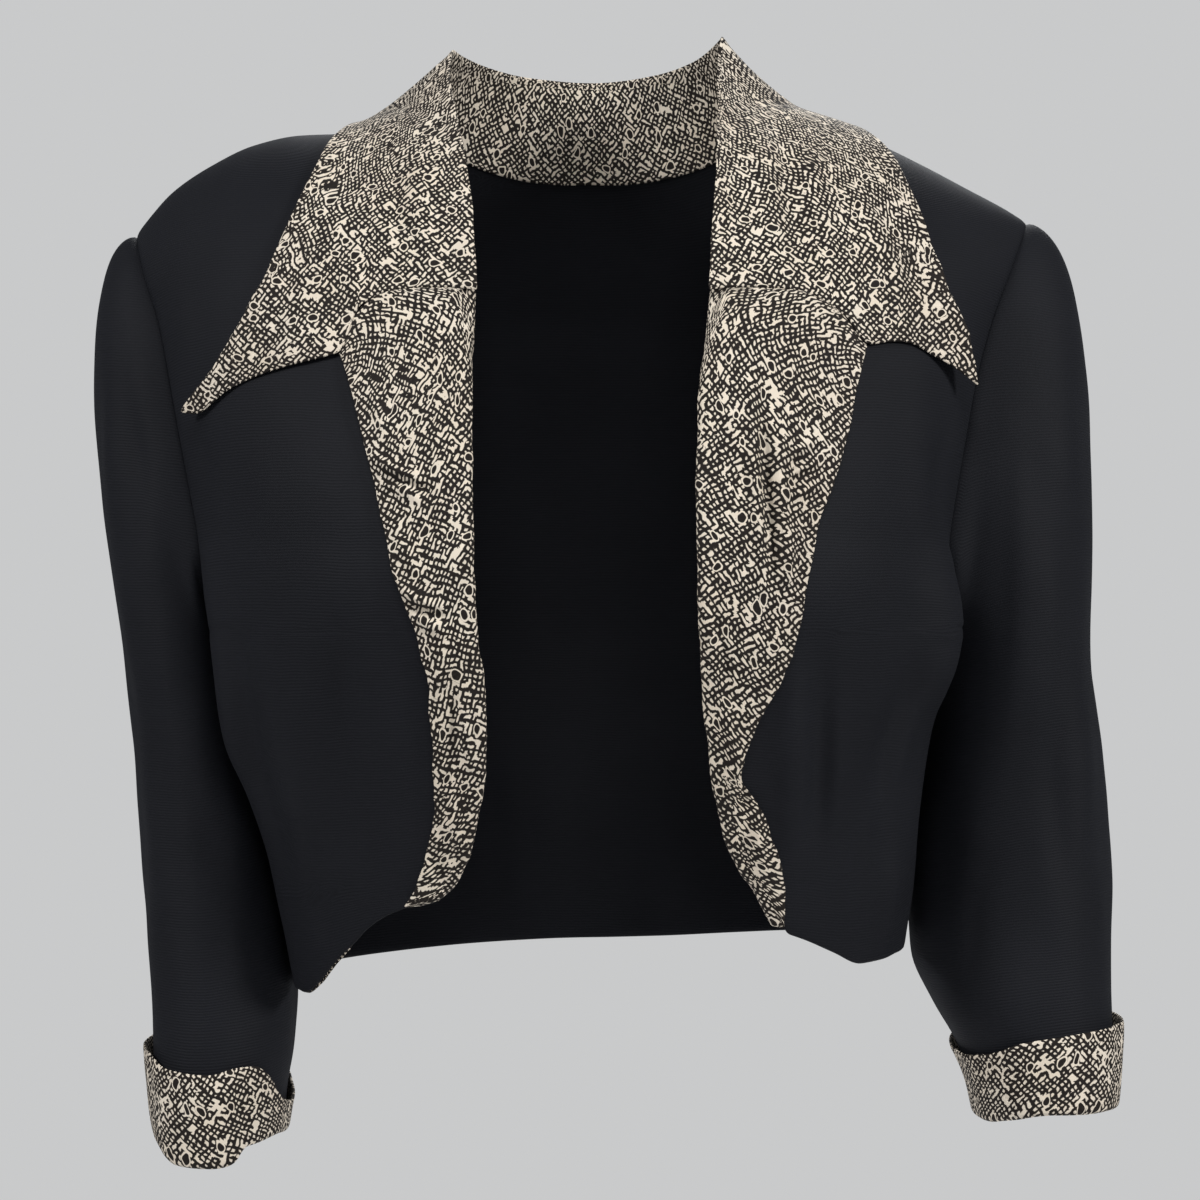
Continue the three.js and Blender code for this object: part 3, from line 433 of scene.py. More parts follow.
class Dye:
    """One value of a cloth's material, which can be added, multiplied and compared like a number."""

    def __init__(self, tree, socket):
        self.tree = tree
        self.socket = socket

    def node(self, kind, settings, sockets, result=0):
        """Any node, from its type, its settings and the values or links of its sockets."""
        made = self.tree.nodes.new(kind)
        for name, value in settings.items():
            setattr(made, name, value)
        for key, value in sockets.items():
            if isinstance(value, Dye):
                self.tree.links.new(value.socket, made.inputs[key])
            else:
                made.inputs[key].default_value = value
        return Dye(self.tree, made.outputs[result])

    def sum(self, operation, *values):
        return self.node("ShaderNodeMath", {"operation": operation}, dict(enumerate(values)))

    def __add__(self, other):
        return self.sum("ADD", self, other)

    def __radd__(self, other):
        return self.sum("ADD", other, self)

    def __sub__(self, other):
        return self.sum("SUBTRACT", self, other)

    def __rsub__(self, other):
        return self.sum("SUBTRACT", other, self)

    def __mul__(self, other):
        return self.sum("MULTIPLY", self, other)

    def __rmul__(self, other):
        return self.sum("MULTIPLY", other, self)

    def __gt__(self, other):
        return self.sum("GREATER_THAN", self, other)

    def floor(self):
        return self.sum("FLOOR", self)

    def least(self, other):
        return self.sum("MINIMUM", self, other)

    def most(self, other):
        return self.sum("MAXIMUM", self, other)

    def wave(self, length):
        """A sine wave of a length."""
        return self.sum("SINE", self * (2 * math.pi / length))

    def ease(self, low, high):
        """0 up to low and 1 from high on, with a soft step between."""
        settings = {"interpolation_type": "SMOOTHSTEP"}
        return self.node("ShaderNodeMapRange", settings, {"Value": self, "From Min": low, "From Max": high})

    def point(self, x, y):
        return self.node("ShaderNodeCombineXYZ", {}, {"X": x, "Y": y})

    def cloud(self, place, size, detail=2.0):
        """Soft uneven spots of about a size, from 0 to 1."""
        sockets = {"Vector": place, "Scale": 1 / size, "Detail": detail}
        return self.node("ShaderNodeTexNoise", {"noise_dimensions": "2D"}, sockets, "Fac")

    def blend(self, share, first, second):
        """A colour between two colours."""
        sockets = {0: share, 6: first, 7: second}
        return self.node("ShaderNodeMix", {"data_type": "RGBA"}, sockets, 2)


SHEEN_ROUGHNESS = 0.45


def cloth_material(name, roughness, sheen, gloss, sheen_tint):
    """A cloth's material with its shader, and its flat cut as millimetres across and along."""
    material = bpy.data.materials.new(name)
    material.use_nodes = True
    tree = material.node_tree
    shader = tree.nodes["Principled BSDF"]
    shader.inputs["Roughness"].default_value = roughness
    shader.inputs["Specular IOR Level"].default_value = gloss
    shader.inputs["Sheen Weight"].default_value = sheen
    shader.inputs["Sheen Roughness"].default_value = SHEEN_ROUGHNESS
    shader.inputs["Sheen Tint"].default_value = (*sheen_tint, 1)
    start = Dye(tree, None)
    cut = start.node("ShaderNodeUVMap", {"uv_map": "UVMap"}, {})
    cut = start.node("ShaderNodeVectorMath", {"operation": "SCALE"}, {0: cut, "Scale": 1 / MM})
    across = start.node("ShaderNodeSeparateXYZ", {}, {0: cut}, "X")
    along = start.node("ShaderNodeSeparateXYZ", {}, {0: cut}, "Y")
    return material, shader, cut, across, along


def weave_in(shader, colour, height, strength, depth):
    """Gives a cloth its colour, and its threads as small heights, with their depth in metres."""
    sockets = {"Height": height, "Strength": strength, "Distance": depth}
    bump = colour.node("ShaderNodeBump", {}, sockets, "Normal")
    colour.tree.links.new(colour.socket, shader.inputs["Base Color"])
    colour.tree.links.new(bump.socket, shader.inputs["Normal"])


# The crepe has fine ribs across its length that waver a little, a grain and slightly worn areas.
RIB, RIB_WAVER, WAVER_LENGTH = 1.24, 1.4, 22.0
CREPE_GRAIN, WORN_SIZE = 0.7, 70.0
CREPE_DARK = (0.0060, 0.0065, 0.0084, 1)
CREPE_LIGHT = (0.0145, 0.0156, 0.0196, 1)
crepe, shader, cut, across, along = cloth_material(
    "black_ribbed_crepe", roughness=0.62, sheen=0.008, gloss=0.07, sheen_tint=(0.8, 0.86, 1)
)
waver = across.cloud(cut, WAVER_LENGTH, 1.0) * RIB_WAVER
grain = across.cloud(cut, CREPE_GRAIN, 3.0)
rib = (along + waver).wave(RIB) * 0.5 + 0.5
worn = across.cloud(cut, WORN_SIZE)
tone = rib * 0.35 + grain * 0.35 + worn * 0.5 - 0.1
crepe_colour = across.blend(tone, CREPE_DARK, CREPE_LIGHT)
weave_in(shader, crepe_colour, rib * 0.6 + grain * 0.8, strength=0.35, depth=0.00035)

# The back's columns to the edge of the neck and from there to the side, how it hangs, and its creases.
BACK_NECK, BACK_SIDE = 12, 28
NECK_CROWDING = 1.2
LOOSE_FROM, LOOSE_OVER = -40, 60
HEM_WAVE = {"from": -300, "over": 70, "height": 1.3}
SIDE_HOLD = 4
BACK_CREASES = [
    (-128, -196, -96, -352, 8, 12, -4.4),
    (-98, -230, -84, -372, -4, 9, 3.4),
    (122, -205, 102, -340, -7, 12, -4.0),
    (92, -252, 88, -372, 3, 9, 3.6),
    (-40, -280, -34, -376, 3, 10, -3.0),
    (30, -290, 41, -374, -3, 10, -2.8),
    (-150, -150, -112, -222, 6, 8, 3.0),
    (148, -146, 108, -214, -6, 8, 2.8),
    (-134, -132, -96, -176, 5, 7, -2.0),
    (132, -126, 96, -168, -5, 7, -1.8),
    (-70, -84, 64, -88, 5, 8, 1.8),
    (-62, -300, -66, -376, 0, 8, 2.2),
    (62, -310, 66, -374, 0, 8, 2.0),
]


def back_half(side):
    """The lines of half of the back, from the hem up, each from the centre out to the side."""
    lines = []
    for i in range(SKIRT_ROWS):
        line = []
        for j in range(BACK_NECK + BACK_SIDE + 1):
            low = mix(HEM_BACK, HEM_SIDE[side], smooth(j / (BACK_NECK + BACK_SIDE)))
            here = body_level(side, "back", mix(low, UNDERARM, i / SKIRT_ROWS))
            split = angle_at(here, NECK_HALF * here.reach / REACH[side](1))
            if j <= BACK_NECK:
                line.append(body_point(here, mix(0, split, (j / BACK_NECK) ** NECK_CROWDING)))
            else:
                line.append(stretch(here, split, math.pi / 2, BACK_SIDE)[j - BACK_NECK])
        lines.append(line)
    for level in panel_levels(side, "back"):
        neck_out = NECK_HALF * level.reach / REACH[side](1)
        neck = []
        for k in range(NECK_POINTS + 1):
            out = neck_out * k / NECK_POINTS
            dip = 1 - (1 - NECK_DIP) * math.sqrt(max(0, 1 - (out / neck_out) ** 2))
            up = level.up * mix(1, dip, level.up**2)
            angle = angle_at(level, out)
            point = body_point(level, angle, up)
            if level.up > 0:
                # The neckline dips towards the middle, down the curve of the back.
                depth = body_level(side, "back", BUST, max(LEAST_UP, up)).depth
                point.y = depth * max(0, math.cos(angle)) ** (2 / GIRTH_ROUND)
            neck.append(point)
        rest = stretch(level, angle_at(level, neck_out), end_angle(level), BACK_SIDE)
        lines.append(evenly(neck, BACK_NECK) + rest[1:])
    return lines


def seam_turn(point, row, column, rows, columns):
    """How far the edges of a panel turn in where they are sewn: at the side, armhole and shoulder."""
    turned = 0
    if column in (0, columns) and row > 0:
        turned = SEAM_TURN
    if row >= rows - 1 and abs(point.x) > NECK_HALF:
        turned = max(turned, SEAM_TURN if row == rows else BESIDE_SEAM)
    return turned


def back_lift(point, row, column):
    """The back lies close on the shoulder blades, hangs looser below them and waves at the hem."""
    drape = billow(point, 1.6, 0.013, (4, 0, 7)) + billow(point, 0.35, 0.05)
    free = smooth((LOOSE_FROM - point.z) / LOOSE_OVER)
    low = smooth((HEM_WAVE["from"] - point.z) / HEM_WAVE["over"])
    hem = HEM_WAVE["height"] * low * math.sin(point.x * 0.071 + 1.3 * math.sin(point.x * 0.023))
    turned = seam_turn(point, row, column, back_rows, back_columns)
    inside = min(1, min(column, back_columns - column) / SIDE_HOLD)
    return (crease_lift(BACK_CREASES, point.x, point.z) + drape * free + hem) * inside - turned


back_halves = {side: back_half(side) for side in ("right", "left")}
back_lines = [list(reversed(a[1:])) + b for a, b in zip(back_halves["right"], back_halves["left"])]
back_rows, back_columns = len(back_lines) - 1, len(back_lines[0]) - 1
back_weft = ((BUST_ROW, 0), (BUST_ROW, back_columns))
back = cloth_on("back_panel", back_lines, 1, back_lift, back_weft)
back.data.materials.append(crepe)
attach(back, "root")
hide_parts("back")


# The fronts are black ribbed crepe with the fullness of the bust eased in. Each ends in a fold under
# the lapel, and below in a hem that rises to the middle. They meet the back at shoulder and side.
EDGE_HEIGHTS = [-359, -347.5, -343, -331, -313, -292, -271, -250, -225, -190, -142, -112, -86]
FRONT_EDGE = {
    "right": curve(EDGE_HEIGHTS, [84, 74, 61.5, 53.5, 48, 44.3, 43, 44, 47, 48.5, 49, 49, 48.7]),
    "left": curve(EDGE_HEIGHTS, [79.5, 73, 70.5, 63, 55.3, 50.9, 48.3, 46.4, 45.1, 44, 44.9, 48, 51]),
}
HEM_OUTS = [70, 80, 91, 104, 119, 130, 137]
FRONT_HEM = {
    "right": curve(HEM_OUTS, [-347, -350.5, -363, -373, -385.5, -391, -391]),
    "left": curve(HEM_OUTS, [-356, -359, -363, -369, -375.5, -375, -373.5]),
}
# Where the neckline starts, how far the edge lies inside the lapel's roll, and how its folds fade out.
GORGE = -86
EDGE_INSET = 4.6
NECK_CURVE = 2.2
FRONT_COLUMNS = 44
SIDEWAYS = {"from": 110, "over": 50, "most": 0.45}
BEFORE_SIDE = 30
FINE_BEFORE, FINE_OVER = 40, 25
FRONT_LOOSE_FROM, EDGE_HOLD = -70, 14
FRONT_FOLDS = {
    "right": [
        (166, -196, 142, -372, 3, 9, 3.2),
        (151, -236, 134, -330, 4, 8, -3.4),
        (104, -232, 96, -285, 3, 9, -1.4),
        (182, -80, 178, -112, 0, 7, 1.6),
    ],
    "left": [
        (159, -226, 150, -262, -4, 12, 5.5),
        (149, -231, 146, -242, 0, 6, -3),
        (138, -246, 122, -318, -3, 9, -2.6),
        (97, -238, 97, -318, 0, 7, -2.6),
        (85, -258, 87, -322, 0, 7, 1.8),
        (142, -126, 152, -208, -3, 8, 2.2),
        (132, -330, 130, -366, 0, 6, 2),
    ],
}
FINE_FRONT_FOLDS = {
    "right": [
        (171, -142, 169, -160, 0, 5, -2.3),
        (190, -99, 186, -118, 1, 4, -1.6),
        (166, -200, 140, -366, 4, 5.5, 3.2),
        (152, -232, 133, -326, 4, 5.5, -3.2),
        (128, -262, 120, -340, 2, 7, 2.9),
        (116, -338, 110, -372, 0, 5, -2.2),
        (92, -300, 88, -345, 1, 6, 2.3),
        (104, -232, 97, -292, 3, 7, -2.6),
    ],
    "left": [
        (143, -250, 131, -299, 0, 3.5, 2.0),
        (122, -300, 119, -330, 0, 3.5, 1.8),
        (117, -322, 113, -350, 0, 4, -1.9),
        (155, -140, 152, -190, -2, 4, -2.0),
        (104, -262, 101, -322, 1, 4.5, 2.6),
        (97, -240, 96, -316, 0, 4.5, -2.7),
        (87, -252, 88, -320, 0, 5, 2.4),
        (150, -178, 153, -214, 0, 5, 2.2),
        (138, -246, 122, -318, -3, 6, -2.7),
        (133, -322, 130, -364, 0, 5, 2.2),
        (150, -204, 150, -254, 0, 10, 13.0),
        (153, -252, 145, -330, 3, 6, 3.6),
        (86, -246, 84, -330, 0, 5, 3.0),
    ],
}


def front_inner(side, z):
    """The front's inner edge: under the fold of the lapel, and above the gorge the neckline."""
    if z <= GORGE:
        return FRONT_EDGE[side](z) + EDGE_INSET
    rise = (z - GORGE) / (SHOULDER[side](NECK_HALF) - GORGE)
    return mix(FRONT_EDGE[side](GORGE) + EDGE_INSET, NECK_HALF, rise**NECK_CURVE)


def fold_front(side, point):
    """Lays the main folds into a point of a front: straight forward, and partly sideways at the side."""
    out = abs(point.x)
    lift = crease_lift(FRONT_FOLDS[side], out, point.z)
    aside = SIDEWAYS["most"] * smooth((out - SIDEWAYS["from"]) / SIDEWAYS["over"])
    direction = Vector((SIGN[side] * aside, -1, 0)).normalized()
    return point + direction * lift * smooth(-point.y / BEFORE_SIDE)


def front_lines(side):
    """The lines of a front, from the hem up, each from its inner edge out to the side or armhole."""
    lines = []
    low = FRONT_HEM[side](HEM_OUTS[0])
    hem_level = body_level(side, "front", low)
    marks = stretch(hem_level, angle_at(hem_level, front_inner(side, low)), math.pi / 2, FRONT_COLUMNS)
    for i in range(SKIRT_ROWS):
        line = []
        for j, mark in enumerate(marks):
            hem = HEM_SIDE[side] if j == FRONT_COLUMNS else FRONT_HEM[side](abs(mark.x))
            here = body_level(side, "front", mix(hem, UNDERARM, i / SKIRT_ROWS))
            start = angle_at(here, front_inner(side, here.z))
            line.append(stretch(here, start, math.pi / 2, FRONT_COLUMNS)[j])
        lines.append(line)
    for level in panel_levels(side, "front"):
        start = front_inner(side, level.z)
        if level.up > 0:
            # The edge of the neck depends on the height, and the height on how far out the edge is.
            for again in range(4):
                start = front_inner(side, mix(BUST, SHOULDER[side](start), level.up))
        lines.append(stretch(level, angle_at(level, start), end_angle(level), FRONT_COLUMNS))
    return [[fold_front(side, point) for point in line] for line in lines]


for side in ("right", "left"):
    lines = front_lines(side)
    front_rows = len(lines) - 1

    def front_lift(point, row, column):
        out = abs(point.x)
        drape = billow(point, 1.8, 0.016, (9, 2, 1)) + billow(point, 0.5, 0.045)
        before = smooth((-point.y - FINE_BEFORE) / FINE_OVER)
        fine = crease_lift(FINE_FRONT_FOLDS[side], out, point.z) * before
        by_side, by_edge = min(1, (FRONT_COLUMNS - column) / SIDE_HOLD), min(1, column / EDGE_HOLD)
        free = smooth((FRONT_LOOSE_FROM - point.z) / LOOSE_OVER) * by_side * by_edge
        # The inner edge is a fold under the lapel, and doesn't turn in.
        seam = column if column == FRONT_COLUMNS else 1
        return (drape + fine) * free - seam_turn(point, row, seam, front_rows, FRONT_COLUMNS)

    front_weft = ((BUST_ROW, 0), (BUST_ROW, FRONT_COLUMNS))
    front = cloth_on("front_panel_" + side, lines, -SIGN[side], front_lift, front_weft)
    front.data.materials.append(crepe)
    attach(front, "root")
    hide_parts("front_" + side)


# The sleeves are three-quarter long, each one piece of the black crepe with a seam under the arm. The
# crown is eased into the armhole under the shoulder, and the ends run down inside the cuffs.
LEVELS = [-475, -440, -419, -400, -378, -332, -286, -250]
SLEEVE = {
    "rightOuter": curve(LEVELS, [192, 195.5, 197, 198.5, 200, 203, 207.5, 213]),
    "rightInner": curve(LEVELS, [141, 139.5, 136, 134.5, 135, 141, 151, 157]),
    "leftOuter": curve(LEVELS, [233, 235.5, 237, 237.5, 237.5, 236.5, 234, 229.5]),
    "leftInner": curve(LEVELS, [180, 176, 169, 158, 149, 148, 153, 157]),
    "middle": curve(LEVELS, [-18, -16, -12, -8, -4, 3, 9, 12]),
    "depth": curve(LEVELS, [84, 87, 92, 96, 100, 108, 118, 126]),
}
SLEEVE_ROUND = 2.2
BICEP = -250
ARM_GAP = 1.2
CROWN = {
    "right": {"leave": (24, -7), "land": (16, 104)},
    "left": {"leave": (28, -10), "land": (1, 120)},
}
# How the crown leaves the armhole and lands on the arm, turns in at its seam and hangs loose below.
CROWN_GAP, CROWN_INSET, CROWN_FORWARD = 0.5, 0.7, 7
UNDER_LEAVE, SIDE_LEAVE, UNDER_LAND = -7, 16, 6
TURNED_IN, TURNED_DOWN, TURNED_ROWS = 3, 2.4, 3
CROWN_EASED, CUFF_HOLD_FROM, CUFF_HOLD_OVER = 8, -470, 30
FOLDS_BEHIND, PUSH_SOFTNESS = 0.7, 4
LOOSE_INSIDE = 0.3
SLEEVE_FOLDS = {
    "right": [
        (214, -100, 199, -236, 3, 9, -3.2),
        (184, -330, 172, -405, 2, 10, 2.4),
        (152, -330, 150, -410, 0, 8, -2.6),
    ],
    "left": [
        (186, -141, 178, -322, 4, 8, 3.4),
        (198, -252, 168, -382, 6, 10, -4),
        (230, -352, 211, -406, 2, 8, -2),
        (186, -384, 184, -412, 0, 8, 2.6),
    ],
}
FINE_SLEEVE_FOLDS = {
    "right": [
        (214, -104, 200, -236, 3, 6, -2.0),
        (160, -262, 150, -372, 2, 6, -2.2),
        (196, -210, 186, -330, 2, 7, 2.4),
        (176, -262, 160, -330, 3, 6, -2.2),
        (199, -290, 190, -405, -2, 6, -2.2),
        (182, -330, 172, -405, 2, 6, 1.8),
        (164, -352, 160, -408, 1, 5, 1.6),
        (206, -120, 198, -170, 1, 5, 1.4),
        (226, -150, 214, -262, 2, 7, 1.8),
    ],
    "left": [
        (168, -168, 166, -248, 0, 6, 2.4),
        (184, -146, 177, -316, 4, 6, 2.2),
        (212, -170, 204, -300, 3, 8, 2.2),
        (198, -252, 170, -376, 6, 7, -2.6),
        (160, -300, 158, -352, 0, 5, 1.9),
        (206, -290, 214, -350, -2, 6, 2.0),
        (222, -250, 216, -330, 2, 6, -1.8),
        (172, -352, 164, -392, 2, 5, 1.7),
        (228, -346, 212, -402, 2, 6, -1.8),
    ],
}
CUFF_ANGLES = [0, 25, 45, 60, 72, 90, 120, 150, 180, 225, 270, 315, 360]
CUFF_HEIGHTS = {
    "rightTop": [-444, -439, -427, -422, -422, -425, -423.5, -418, -416.5, -417, -421, -433, -444],
    "rightEnd": [-457, -455, -456, -457, -464, -465.5, -465, -458, -453, -453, -456, -457, -457],
    "leftTop": [-420, -420, -418, -415, -412, -409.5, -407, -406, -406.5, -407, -411, -416, -420],
    "leftEnd": [-450, -449, -446.5, -444.5, -443, -442, -442, -443, -444.5, -445, -446, -448, -450],
}
CUFF = {name: curve(CUFF_ANGLES, heights) for name, heights in CUFF_HEIGHTS.items()}
CUFF_TUCK = 3
CROWN_ROWS, ARM_ROWS = 26, 36
BICEP_ROW = CROWN_ROWS + 4


def sleeve_point(side, z, angle, proud=0.0):
    """A point of the sleeve below the underarm. Angle 0 faces the body, and 90 degrees the front."""
    outer, inner = SLEEVE[side + "Outer"](z), SLEEVE[side + "Inner"](z)
    power = 2 / SLEEVE_ROUND
    swing = [math.copysign(abs(value) ** power, value) for value in (math.cos(angle), math.sin(angle))]
    x = (outer + inner) / 2 - ((outer - inner) / 2 + proud) * swing[0]
    y = SLEEVE["middle"](z) - (SLEEVE["depth"](z) / 2 + proud) * swing[1]
    return Vector((SIGN[side] * x, y, z))


def sleeve_fold(side, point, angle):
    """How far the main folds move a point of the sleeve, in front and more weakly behind."""
    facing, behind = smooth(math.sin(angle) * 2), smooth(-math.sin(angle) * 2)
    lift = crease_lift(SLEEVE_FOLDS[side], abs(point.x), point.z) * (facing + FOLDS_BEHIND * behind)
    return Vector((0, -lift if facing > behind else lift, 0))


def clear_of_side(side, point):
    """Moves a point of the sleeve out until it is just clear of the side of the body."""
    face = "front" if point.y < 0 else "back"
    level = body_level(side, face, min(point.z, BUST))
    share = min(1, abs(point.y) / level.depth)
    edge = abs(body_point(level, math.acos(share ** (GIRTH_ROUND / 2))).x) + ARM_GAP
    out, soft = abs(point.x), PUSH_SOFTNESS
    pushed = out if out > edge + soft else edge + soft * math.exp((out - edge - soft) / soft)
    return Vector((SIGN[side] * max(out, pushed), point.y, point.z))


def armhole(side):
    """Points round the armhole from the underarm up the front, over the shoulder and down behind."""
    halves = {}
    for face in ("front", "back"):
        # The level half a row under the shoulder seam only serves the panels.
        levels = [level for k, level in enumerate(panel_levels(side, face)) if k != SCYE_ROWS + CHEST_ROWS]
        halves[face] = [fold_front(side, body_point(level, end_angle(level))) for level in levels]
    return halves["front"] + list(reversed(halves["back"]))[1:-1]


def cuff_edge(side, angle, column):
    """The height of the cuff's top or of the sleeve's end at an angle round the arm."""
    return CUFF[side + column](math.degrees(angle) % 360)


def sleeve_lines(side):
    """The lines of a sleeve round the arm, from inside the armhole seam down into the cuff."""
    seam = armhole(side)
    middle = sum(seam, Vector()) / len(seam)
    columns = []
    for k, edge in enumerate(seam + seam[:1]):
        angle = 2 * math.pi * k / len(seam)
        high = (1 - math.cos(angle)) / 2
        inward = Vector((0, middle.y - edge.y, middle.z - edge.z)).normalized()
        gap = mix(ARM_GAP, CROWN_GAP, smooth(high * 3))
        start = edge + Vector((SIGN[side] * gap, 0, 0)) + inward * CROWN_INSET
        end = sleeve_point(side, BICEP, angle)
        leave = start + Vector((
            SIGN[side] * CROWN[side]["leave"][0] * high**0.8,
            -CROWN_FORWARD * math.sin(angle) * high,
            mix(UNDER_LEAVE, CROWN[side]["leave"][1], high**2) - SIDE_LEAVE * math.sin(angle) ** 2,
        ))
        land = end + Vector((
            SIGN[side] * CROWN[side]["land"][0] * high**1.5,
            0,
            mix(UNDER_LAND, CROWN[side]["land"][1], high**1.3),
        ))
        path = [edge - Vector((SIGN[side] * TURNED_IN, 0, 0)) + inward * TURNED_DOWN]
        for i in range(CROWN_ROWS + 1):
            t = i / CROWN_ROWS
            weights = ((1 - t) ** 3, 3 * t * (1 - t) ** 2, 3 * t * t * (1 - t), t**3)
            path.append(sum((p * w for p, w in zip((start, leave, land, end), weights)), Vector()))
        last = cuff_edge(side, angle, "End") + CUFF_TUCK
        for i in range(1, ARM_ROWS + 1):
            path.append(sleeve_point(side, mix(BICEP, last, i / ARM_ROWS), angle))
        for i in range(TURNED_ROWS, len(path)):
            path[i] = path[i] + sleeve_fold(side, path[i], angle) * smooth((i - 1) / 6)
            if path[i].z < BUST:
                path[i] = clear_of_side(side, path[i])
        columns.append(path)
    return [[column[i] for column in columns] for i in range(len(columns[0]))]


for side in ("right", "left"):
    lines = sleeve_lines(side)
    sleeve_columns = len(lines[0]) - 1

    def sleeve_lift(point, row, column):
        angle = 2 * math.pi * column / sleeve_columns
        fine = crease_lift(FINE_SLEEVE_FOLDS[side], abs(point.x), point.z)
        round_arm = Vector((math.cos(angle), math.sin(angle), 0))
        drape = billow(round_arm, 2.0, 1, (0, 0, point.z * 0.011 + SIGN[side]))
        small = billow(round_arm, 1.5, 2.1, (3, 0, point.z * 0.019)) + billow(point, 0.4, 0.05)
        free = smooth((row - 2) / CROWN_EASED) * smooth((point.z - CUFF_HOLD_FROM) / CUFF_HOLD_OVER)
        loose = mix(LOOSE_INSIDE, 1, smooth(-math.cos(angle) + 0.6))
        return (fine * abs(math.sin(angle)) + (drape + small) * loose) * free

    sleeve_weft = ((BICEP_ROW, 0), (BICEP_ROW, sleeve_columns))
    sleeve = cloth_on("sleeve_tube_" + side, lines, -SIGN[side], sleeve_lift, sleeve_weft, closed=True)
    sleeve.data.materials.append(crepe)
    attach(sleeve, "root")
    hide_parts("sleeve_" + side)


# The cuffs are bands of the printed crepe, sewn inside the sleeve's end and turned back over it. The
# turn at the bottom is soft and round, and the free edge above stands a little off the sleeve.

# The print is a slanting net of dark lines on cream. Some lines are left out, so that the cells join
# into small figures, and small rings lie among them. Its sizes are in millimetres.
CREAM = (0.62, 0.54, 0.435, 1)
CREAM_PALE = (0.75, 0.69, 0.595, 1)
GROUND = (0.0095, 0.0076, 0.0068, 1)
GROUND_LIGHT = (0.021, 0.0175, 0.0155, 1)
CELL = 2.25
SLANT = (0.72, 0.69)
NET_BEND, NET_WAVER = 1.3, 0.4
LINE_WIDTH, LINE_VARIES, LINE_EDGE = 0.19, 0.34, 7.0
LINES_DRAWN, CROWD_DROPS = 1.32, 0.95
EYE_SPACING, EYE_FLAT, EYE_BEND = 13.5, 0.78, 4.0
EYE_OUTSIDE, EYE_INSIDE = (1.8, 2.0), (1.25, 1.45)
BEND_SIZE, WAVER_SIZE, CROWD_SIZE, THIN_SIZE = 8.0, 1.9, 9.0, 2.6
THREAD, FADE_SIZE, FLECK_SIZE, GRAIN_SIZE = 0.62, 31.0, 1.1, 0.55
print_cloth, shader, cut, across, along = cloth_material(
    "printed_crepe", roughness=0.7, sheen=0.03, gloss=0.1, sheen_tint=(1, 0.95, 0.88)
)
bend_a = across.cloud(cut, BEND_SIZE, 1.5) - 0.5
bend_b = across.cloud(cut.point(along + 300.0, across + 170.0), BEND_SIZE, 1.5) - 0.5
small_a = across.cloud(cut, WAVER_SIZE, 1.0) - 0.5
small_b = across.cloud(cut.point(along + 50.0, across + 20.0), WAVER_SIZE, 1.0) - 0.5
diagonal = (across * SLANT[0] + along * SLANT[1]) * (1 / CELL) + bend_a * NET_BEND + small_a * NET_WAVER
counter = (along * SLANT[0] - across * SLANT[1]) * (1 / CELL) + bend_b * NET_BEND + small_b * NET_WAVER
crowd = across.cloud(cut.point(across + 40.0, along), CROWD_SIZE, 1.0)
thin = across.cloud(cut.point(across, along + 90.0), THIN_SIZE, 1.0)


def net_line(first, second, seed):
    """How dark one family of the net's lines is: they lie at whole numbers of first, some left out."""
    whole = (first + 0.5).floor()
    off = first.sum("ABSOLUTE", first - whole)
    cell = first.node("ShaderNodeCombineXYZ", {}, {"X": whole, "Y": second.floor(), "Z": float(seed)})
    settings = {"noise_dimensions": "3D"}
    chance = first.node("ShaderNodeTexWhiteNoise", settings, {"Vector": cell}, "Value")
    drawn = LINES_DRAWN - crowd * CROWD_DROPS > chance
    line = (thin * LINE_VARIES + LINE_WIDTH - off) * LINE_EDGE
    return line.least(1.0).most(0.0) * drawn


first_lines, second_lines = net_line(diagonal, counter, 3), net_line(counter, diagonal, 8)
net = (1.0 - first_lines * first_lines - second_lines * second_lines).most(0.0)
eyes = across.node("ShaderNodeTexVoronoi", {"voronoi_dimensions": "2D", "feature": "F1"}, {
    "Vector": cut.point(across + bend_a * EYE_BEND, along * EYE_FLAT + bend_b * EYE_BEND),
    "Scale": 1 / EYE_SPACING,
    "Randomness": 0.9,
}, "Distance") * EYE_SPACING
figure = net.most(1.0 - eyes.ease(*EYE_OUTSIDE)).least(eyes.ease(*EYE_INSIDE))
thread = (across + small_a * 0.8).wave(THREAD) * 0.5 + 0.5
cream = across.blend(across.cloud(cut, FADE_SIZE) * 0.8 + thread * 0.25, CREAM, CREAM_PALE)
ground = across.blend(across.cloud(cut, FLECK_SIZE), GROUND, GROUND_LIGHT)
print_grain = across.cloud(cut, GRAIN_SIZE)
print_height = thread * 0.5 + print_grain * 0.7 - figure * 0.12
weave_in(shader, across.blend(figure, ground, cream), print_height, strength=0.3, depth=0.0003)

# The cuff's flare at its free edge, the round of its turn and how far it runs up inside the sleeve.
LAYER_GAP = 0.9
PRINT_THICK = 1.3
CUFF_FLARE, CUFF_BEND, CUFF_LINING = 1.6, 1.5, 14
CUFF_COLUMNS, CUFF_ROWS, CUFF_TURN, CUFF_INSIDE = 96, 12, 6, 4
CUFF_STILL = 0.3


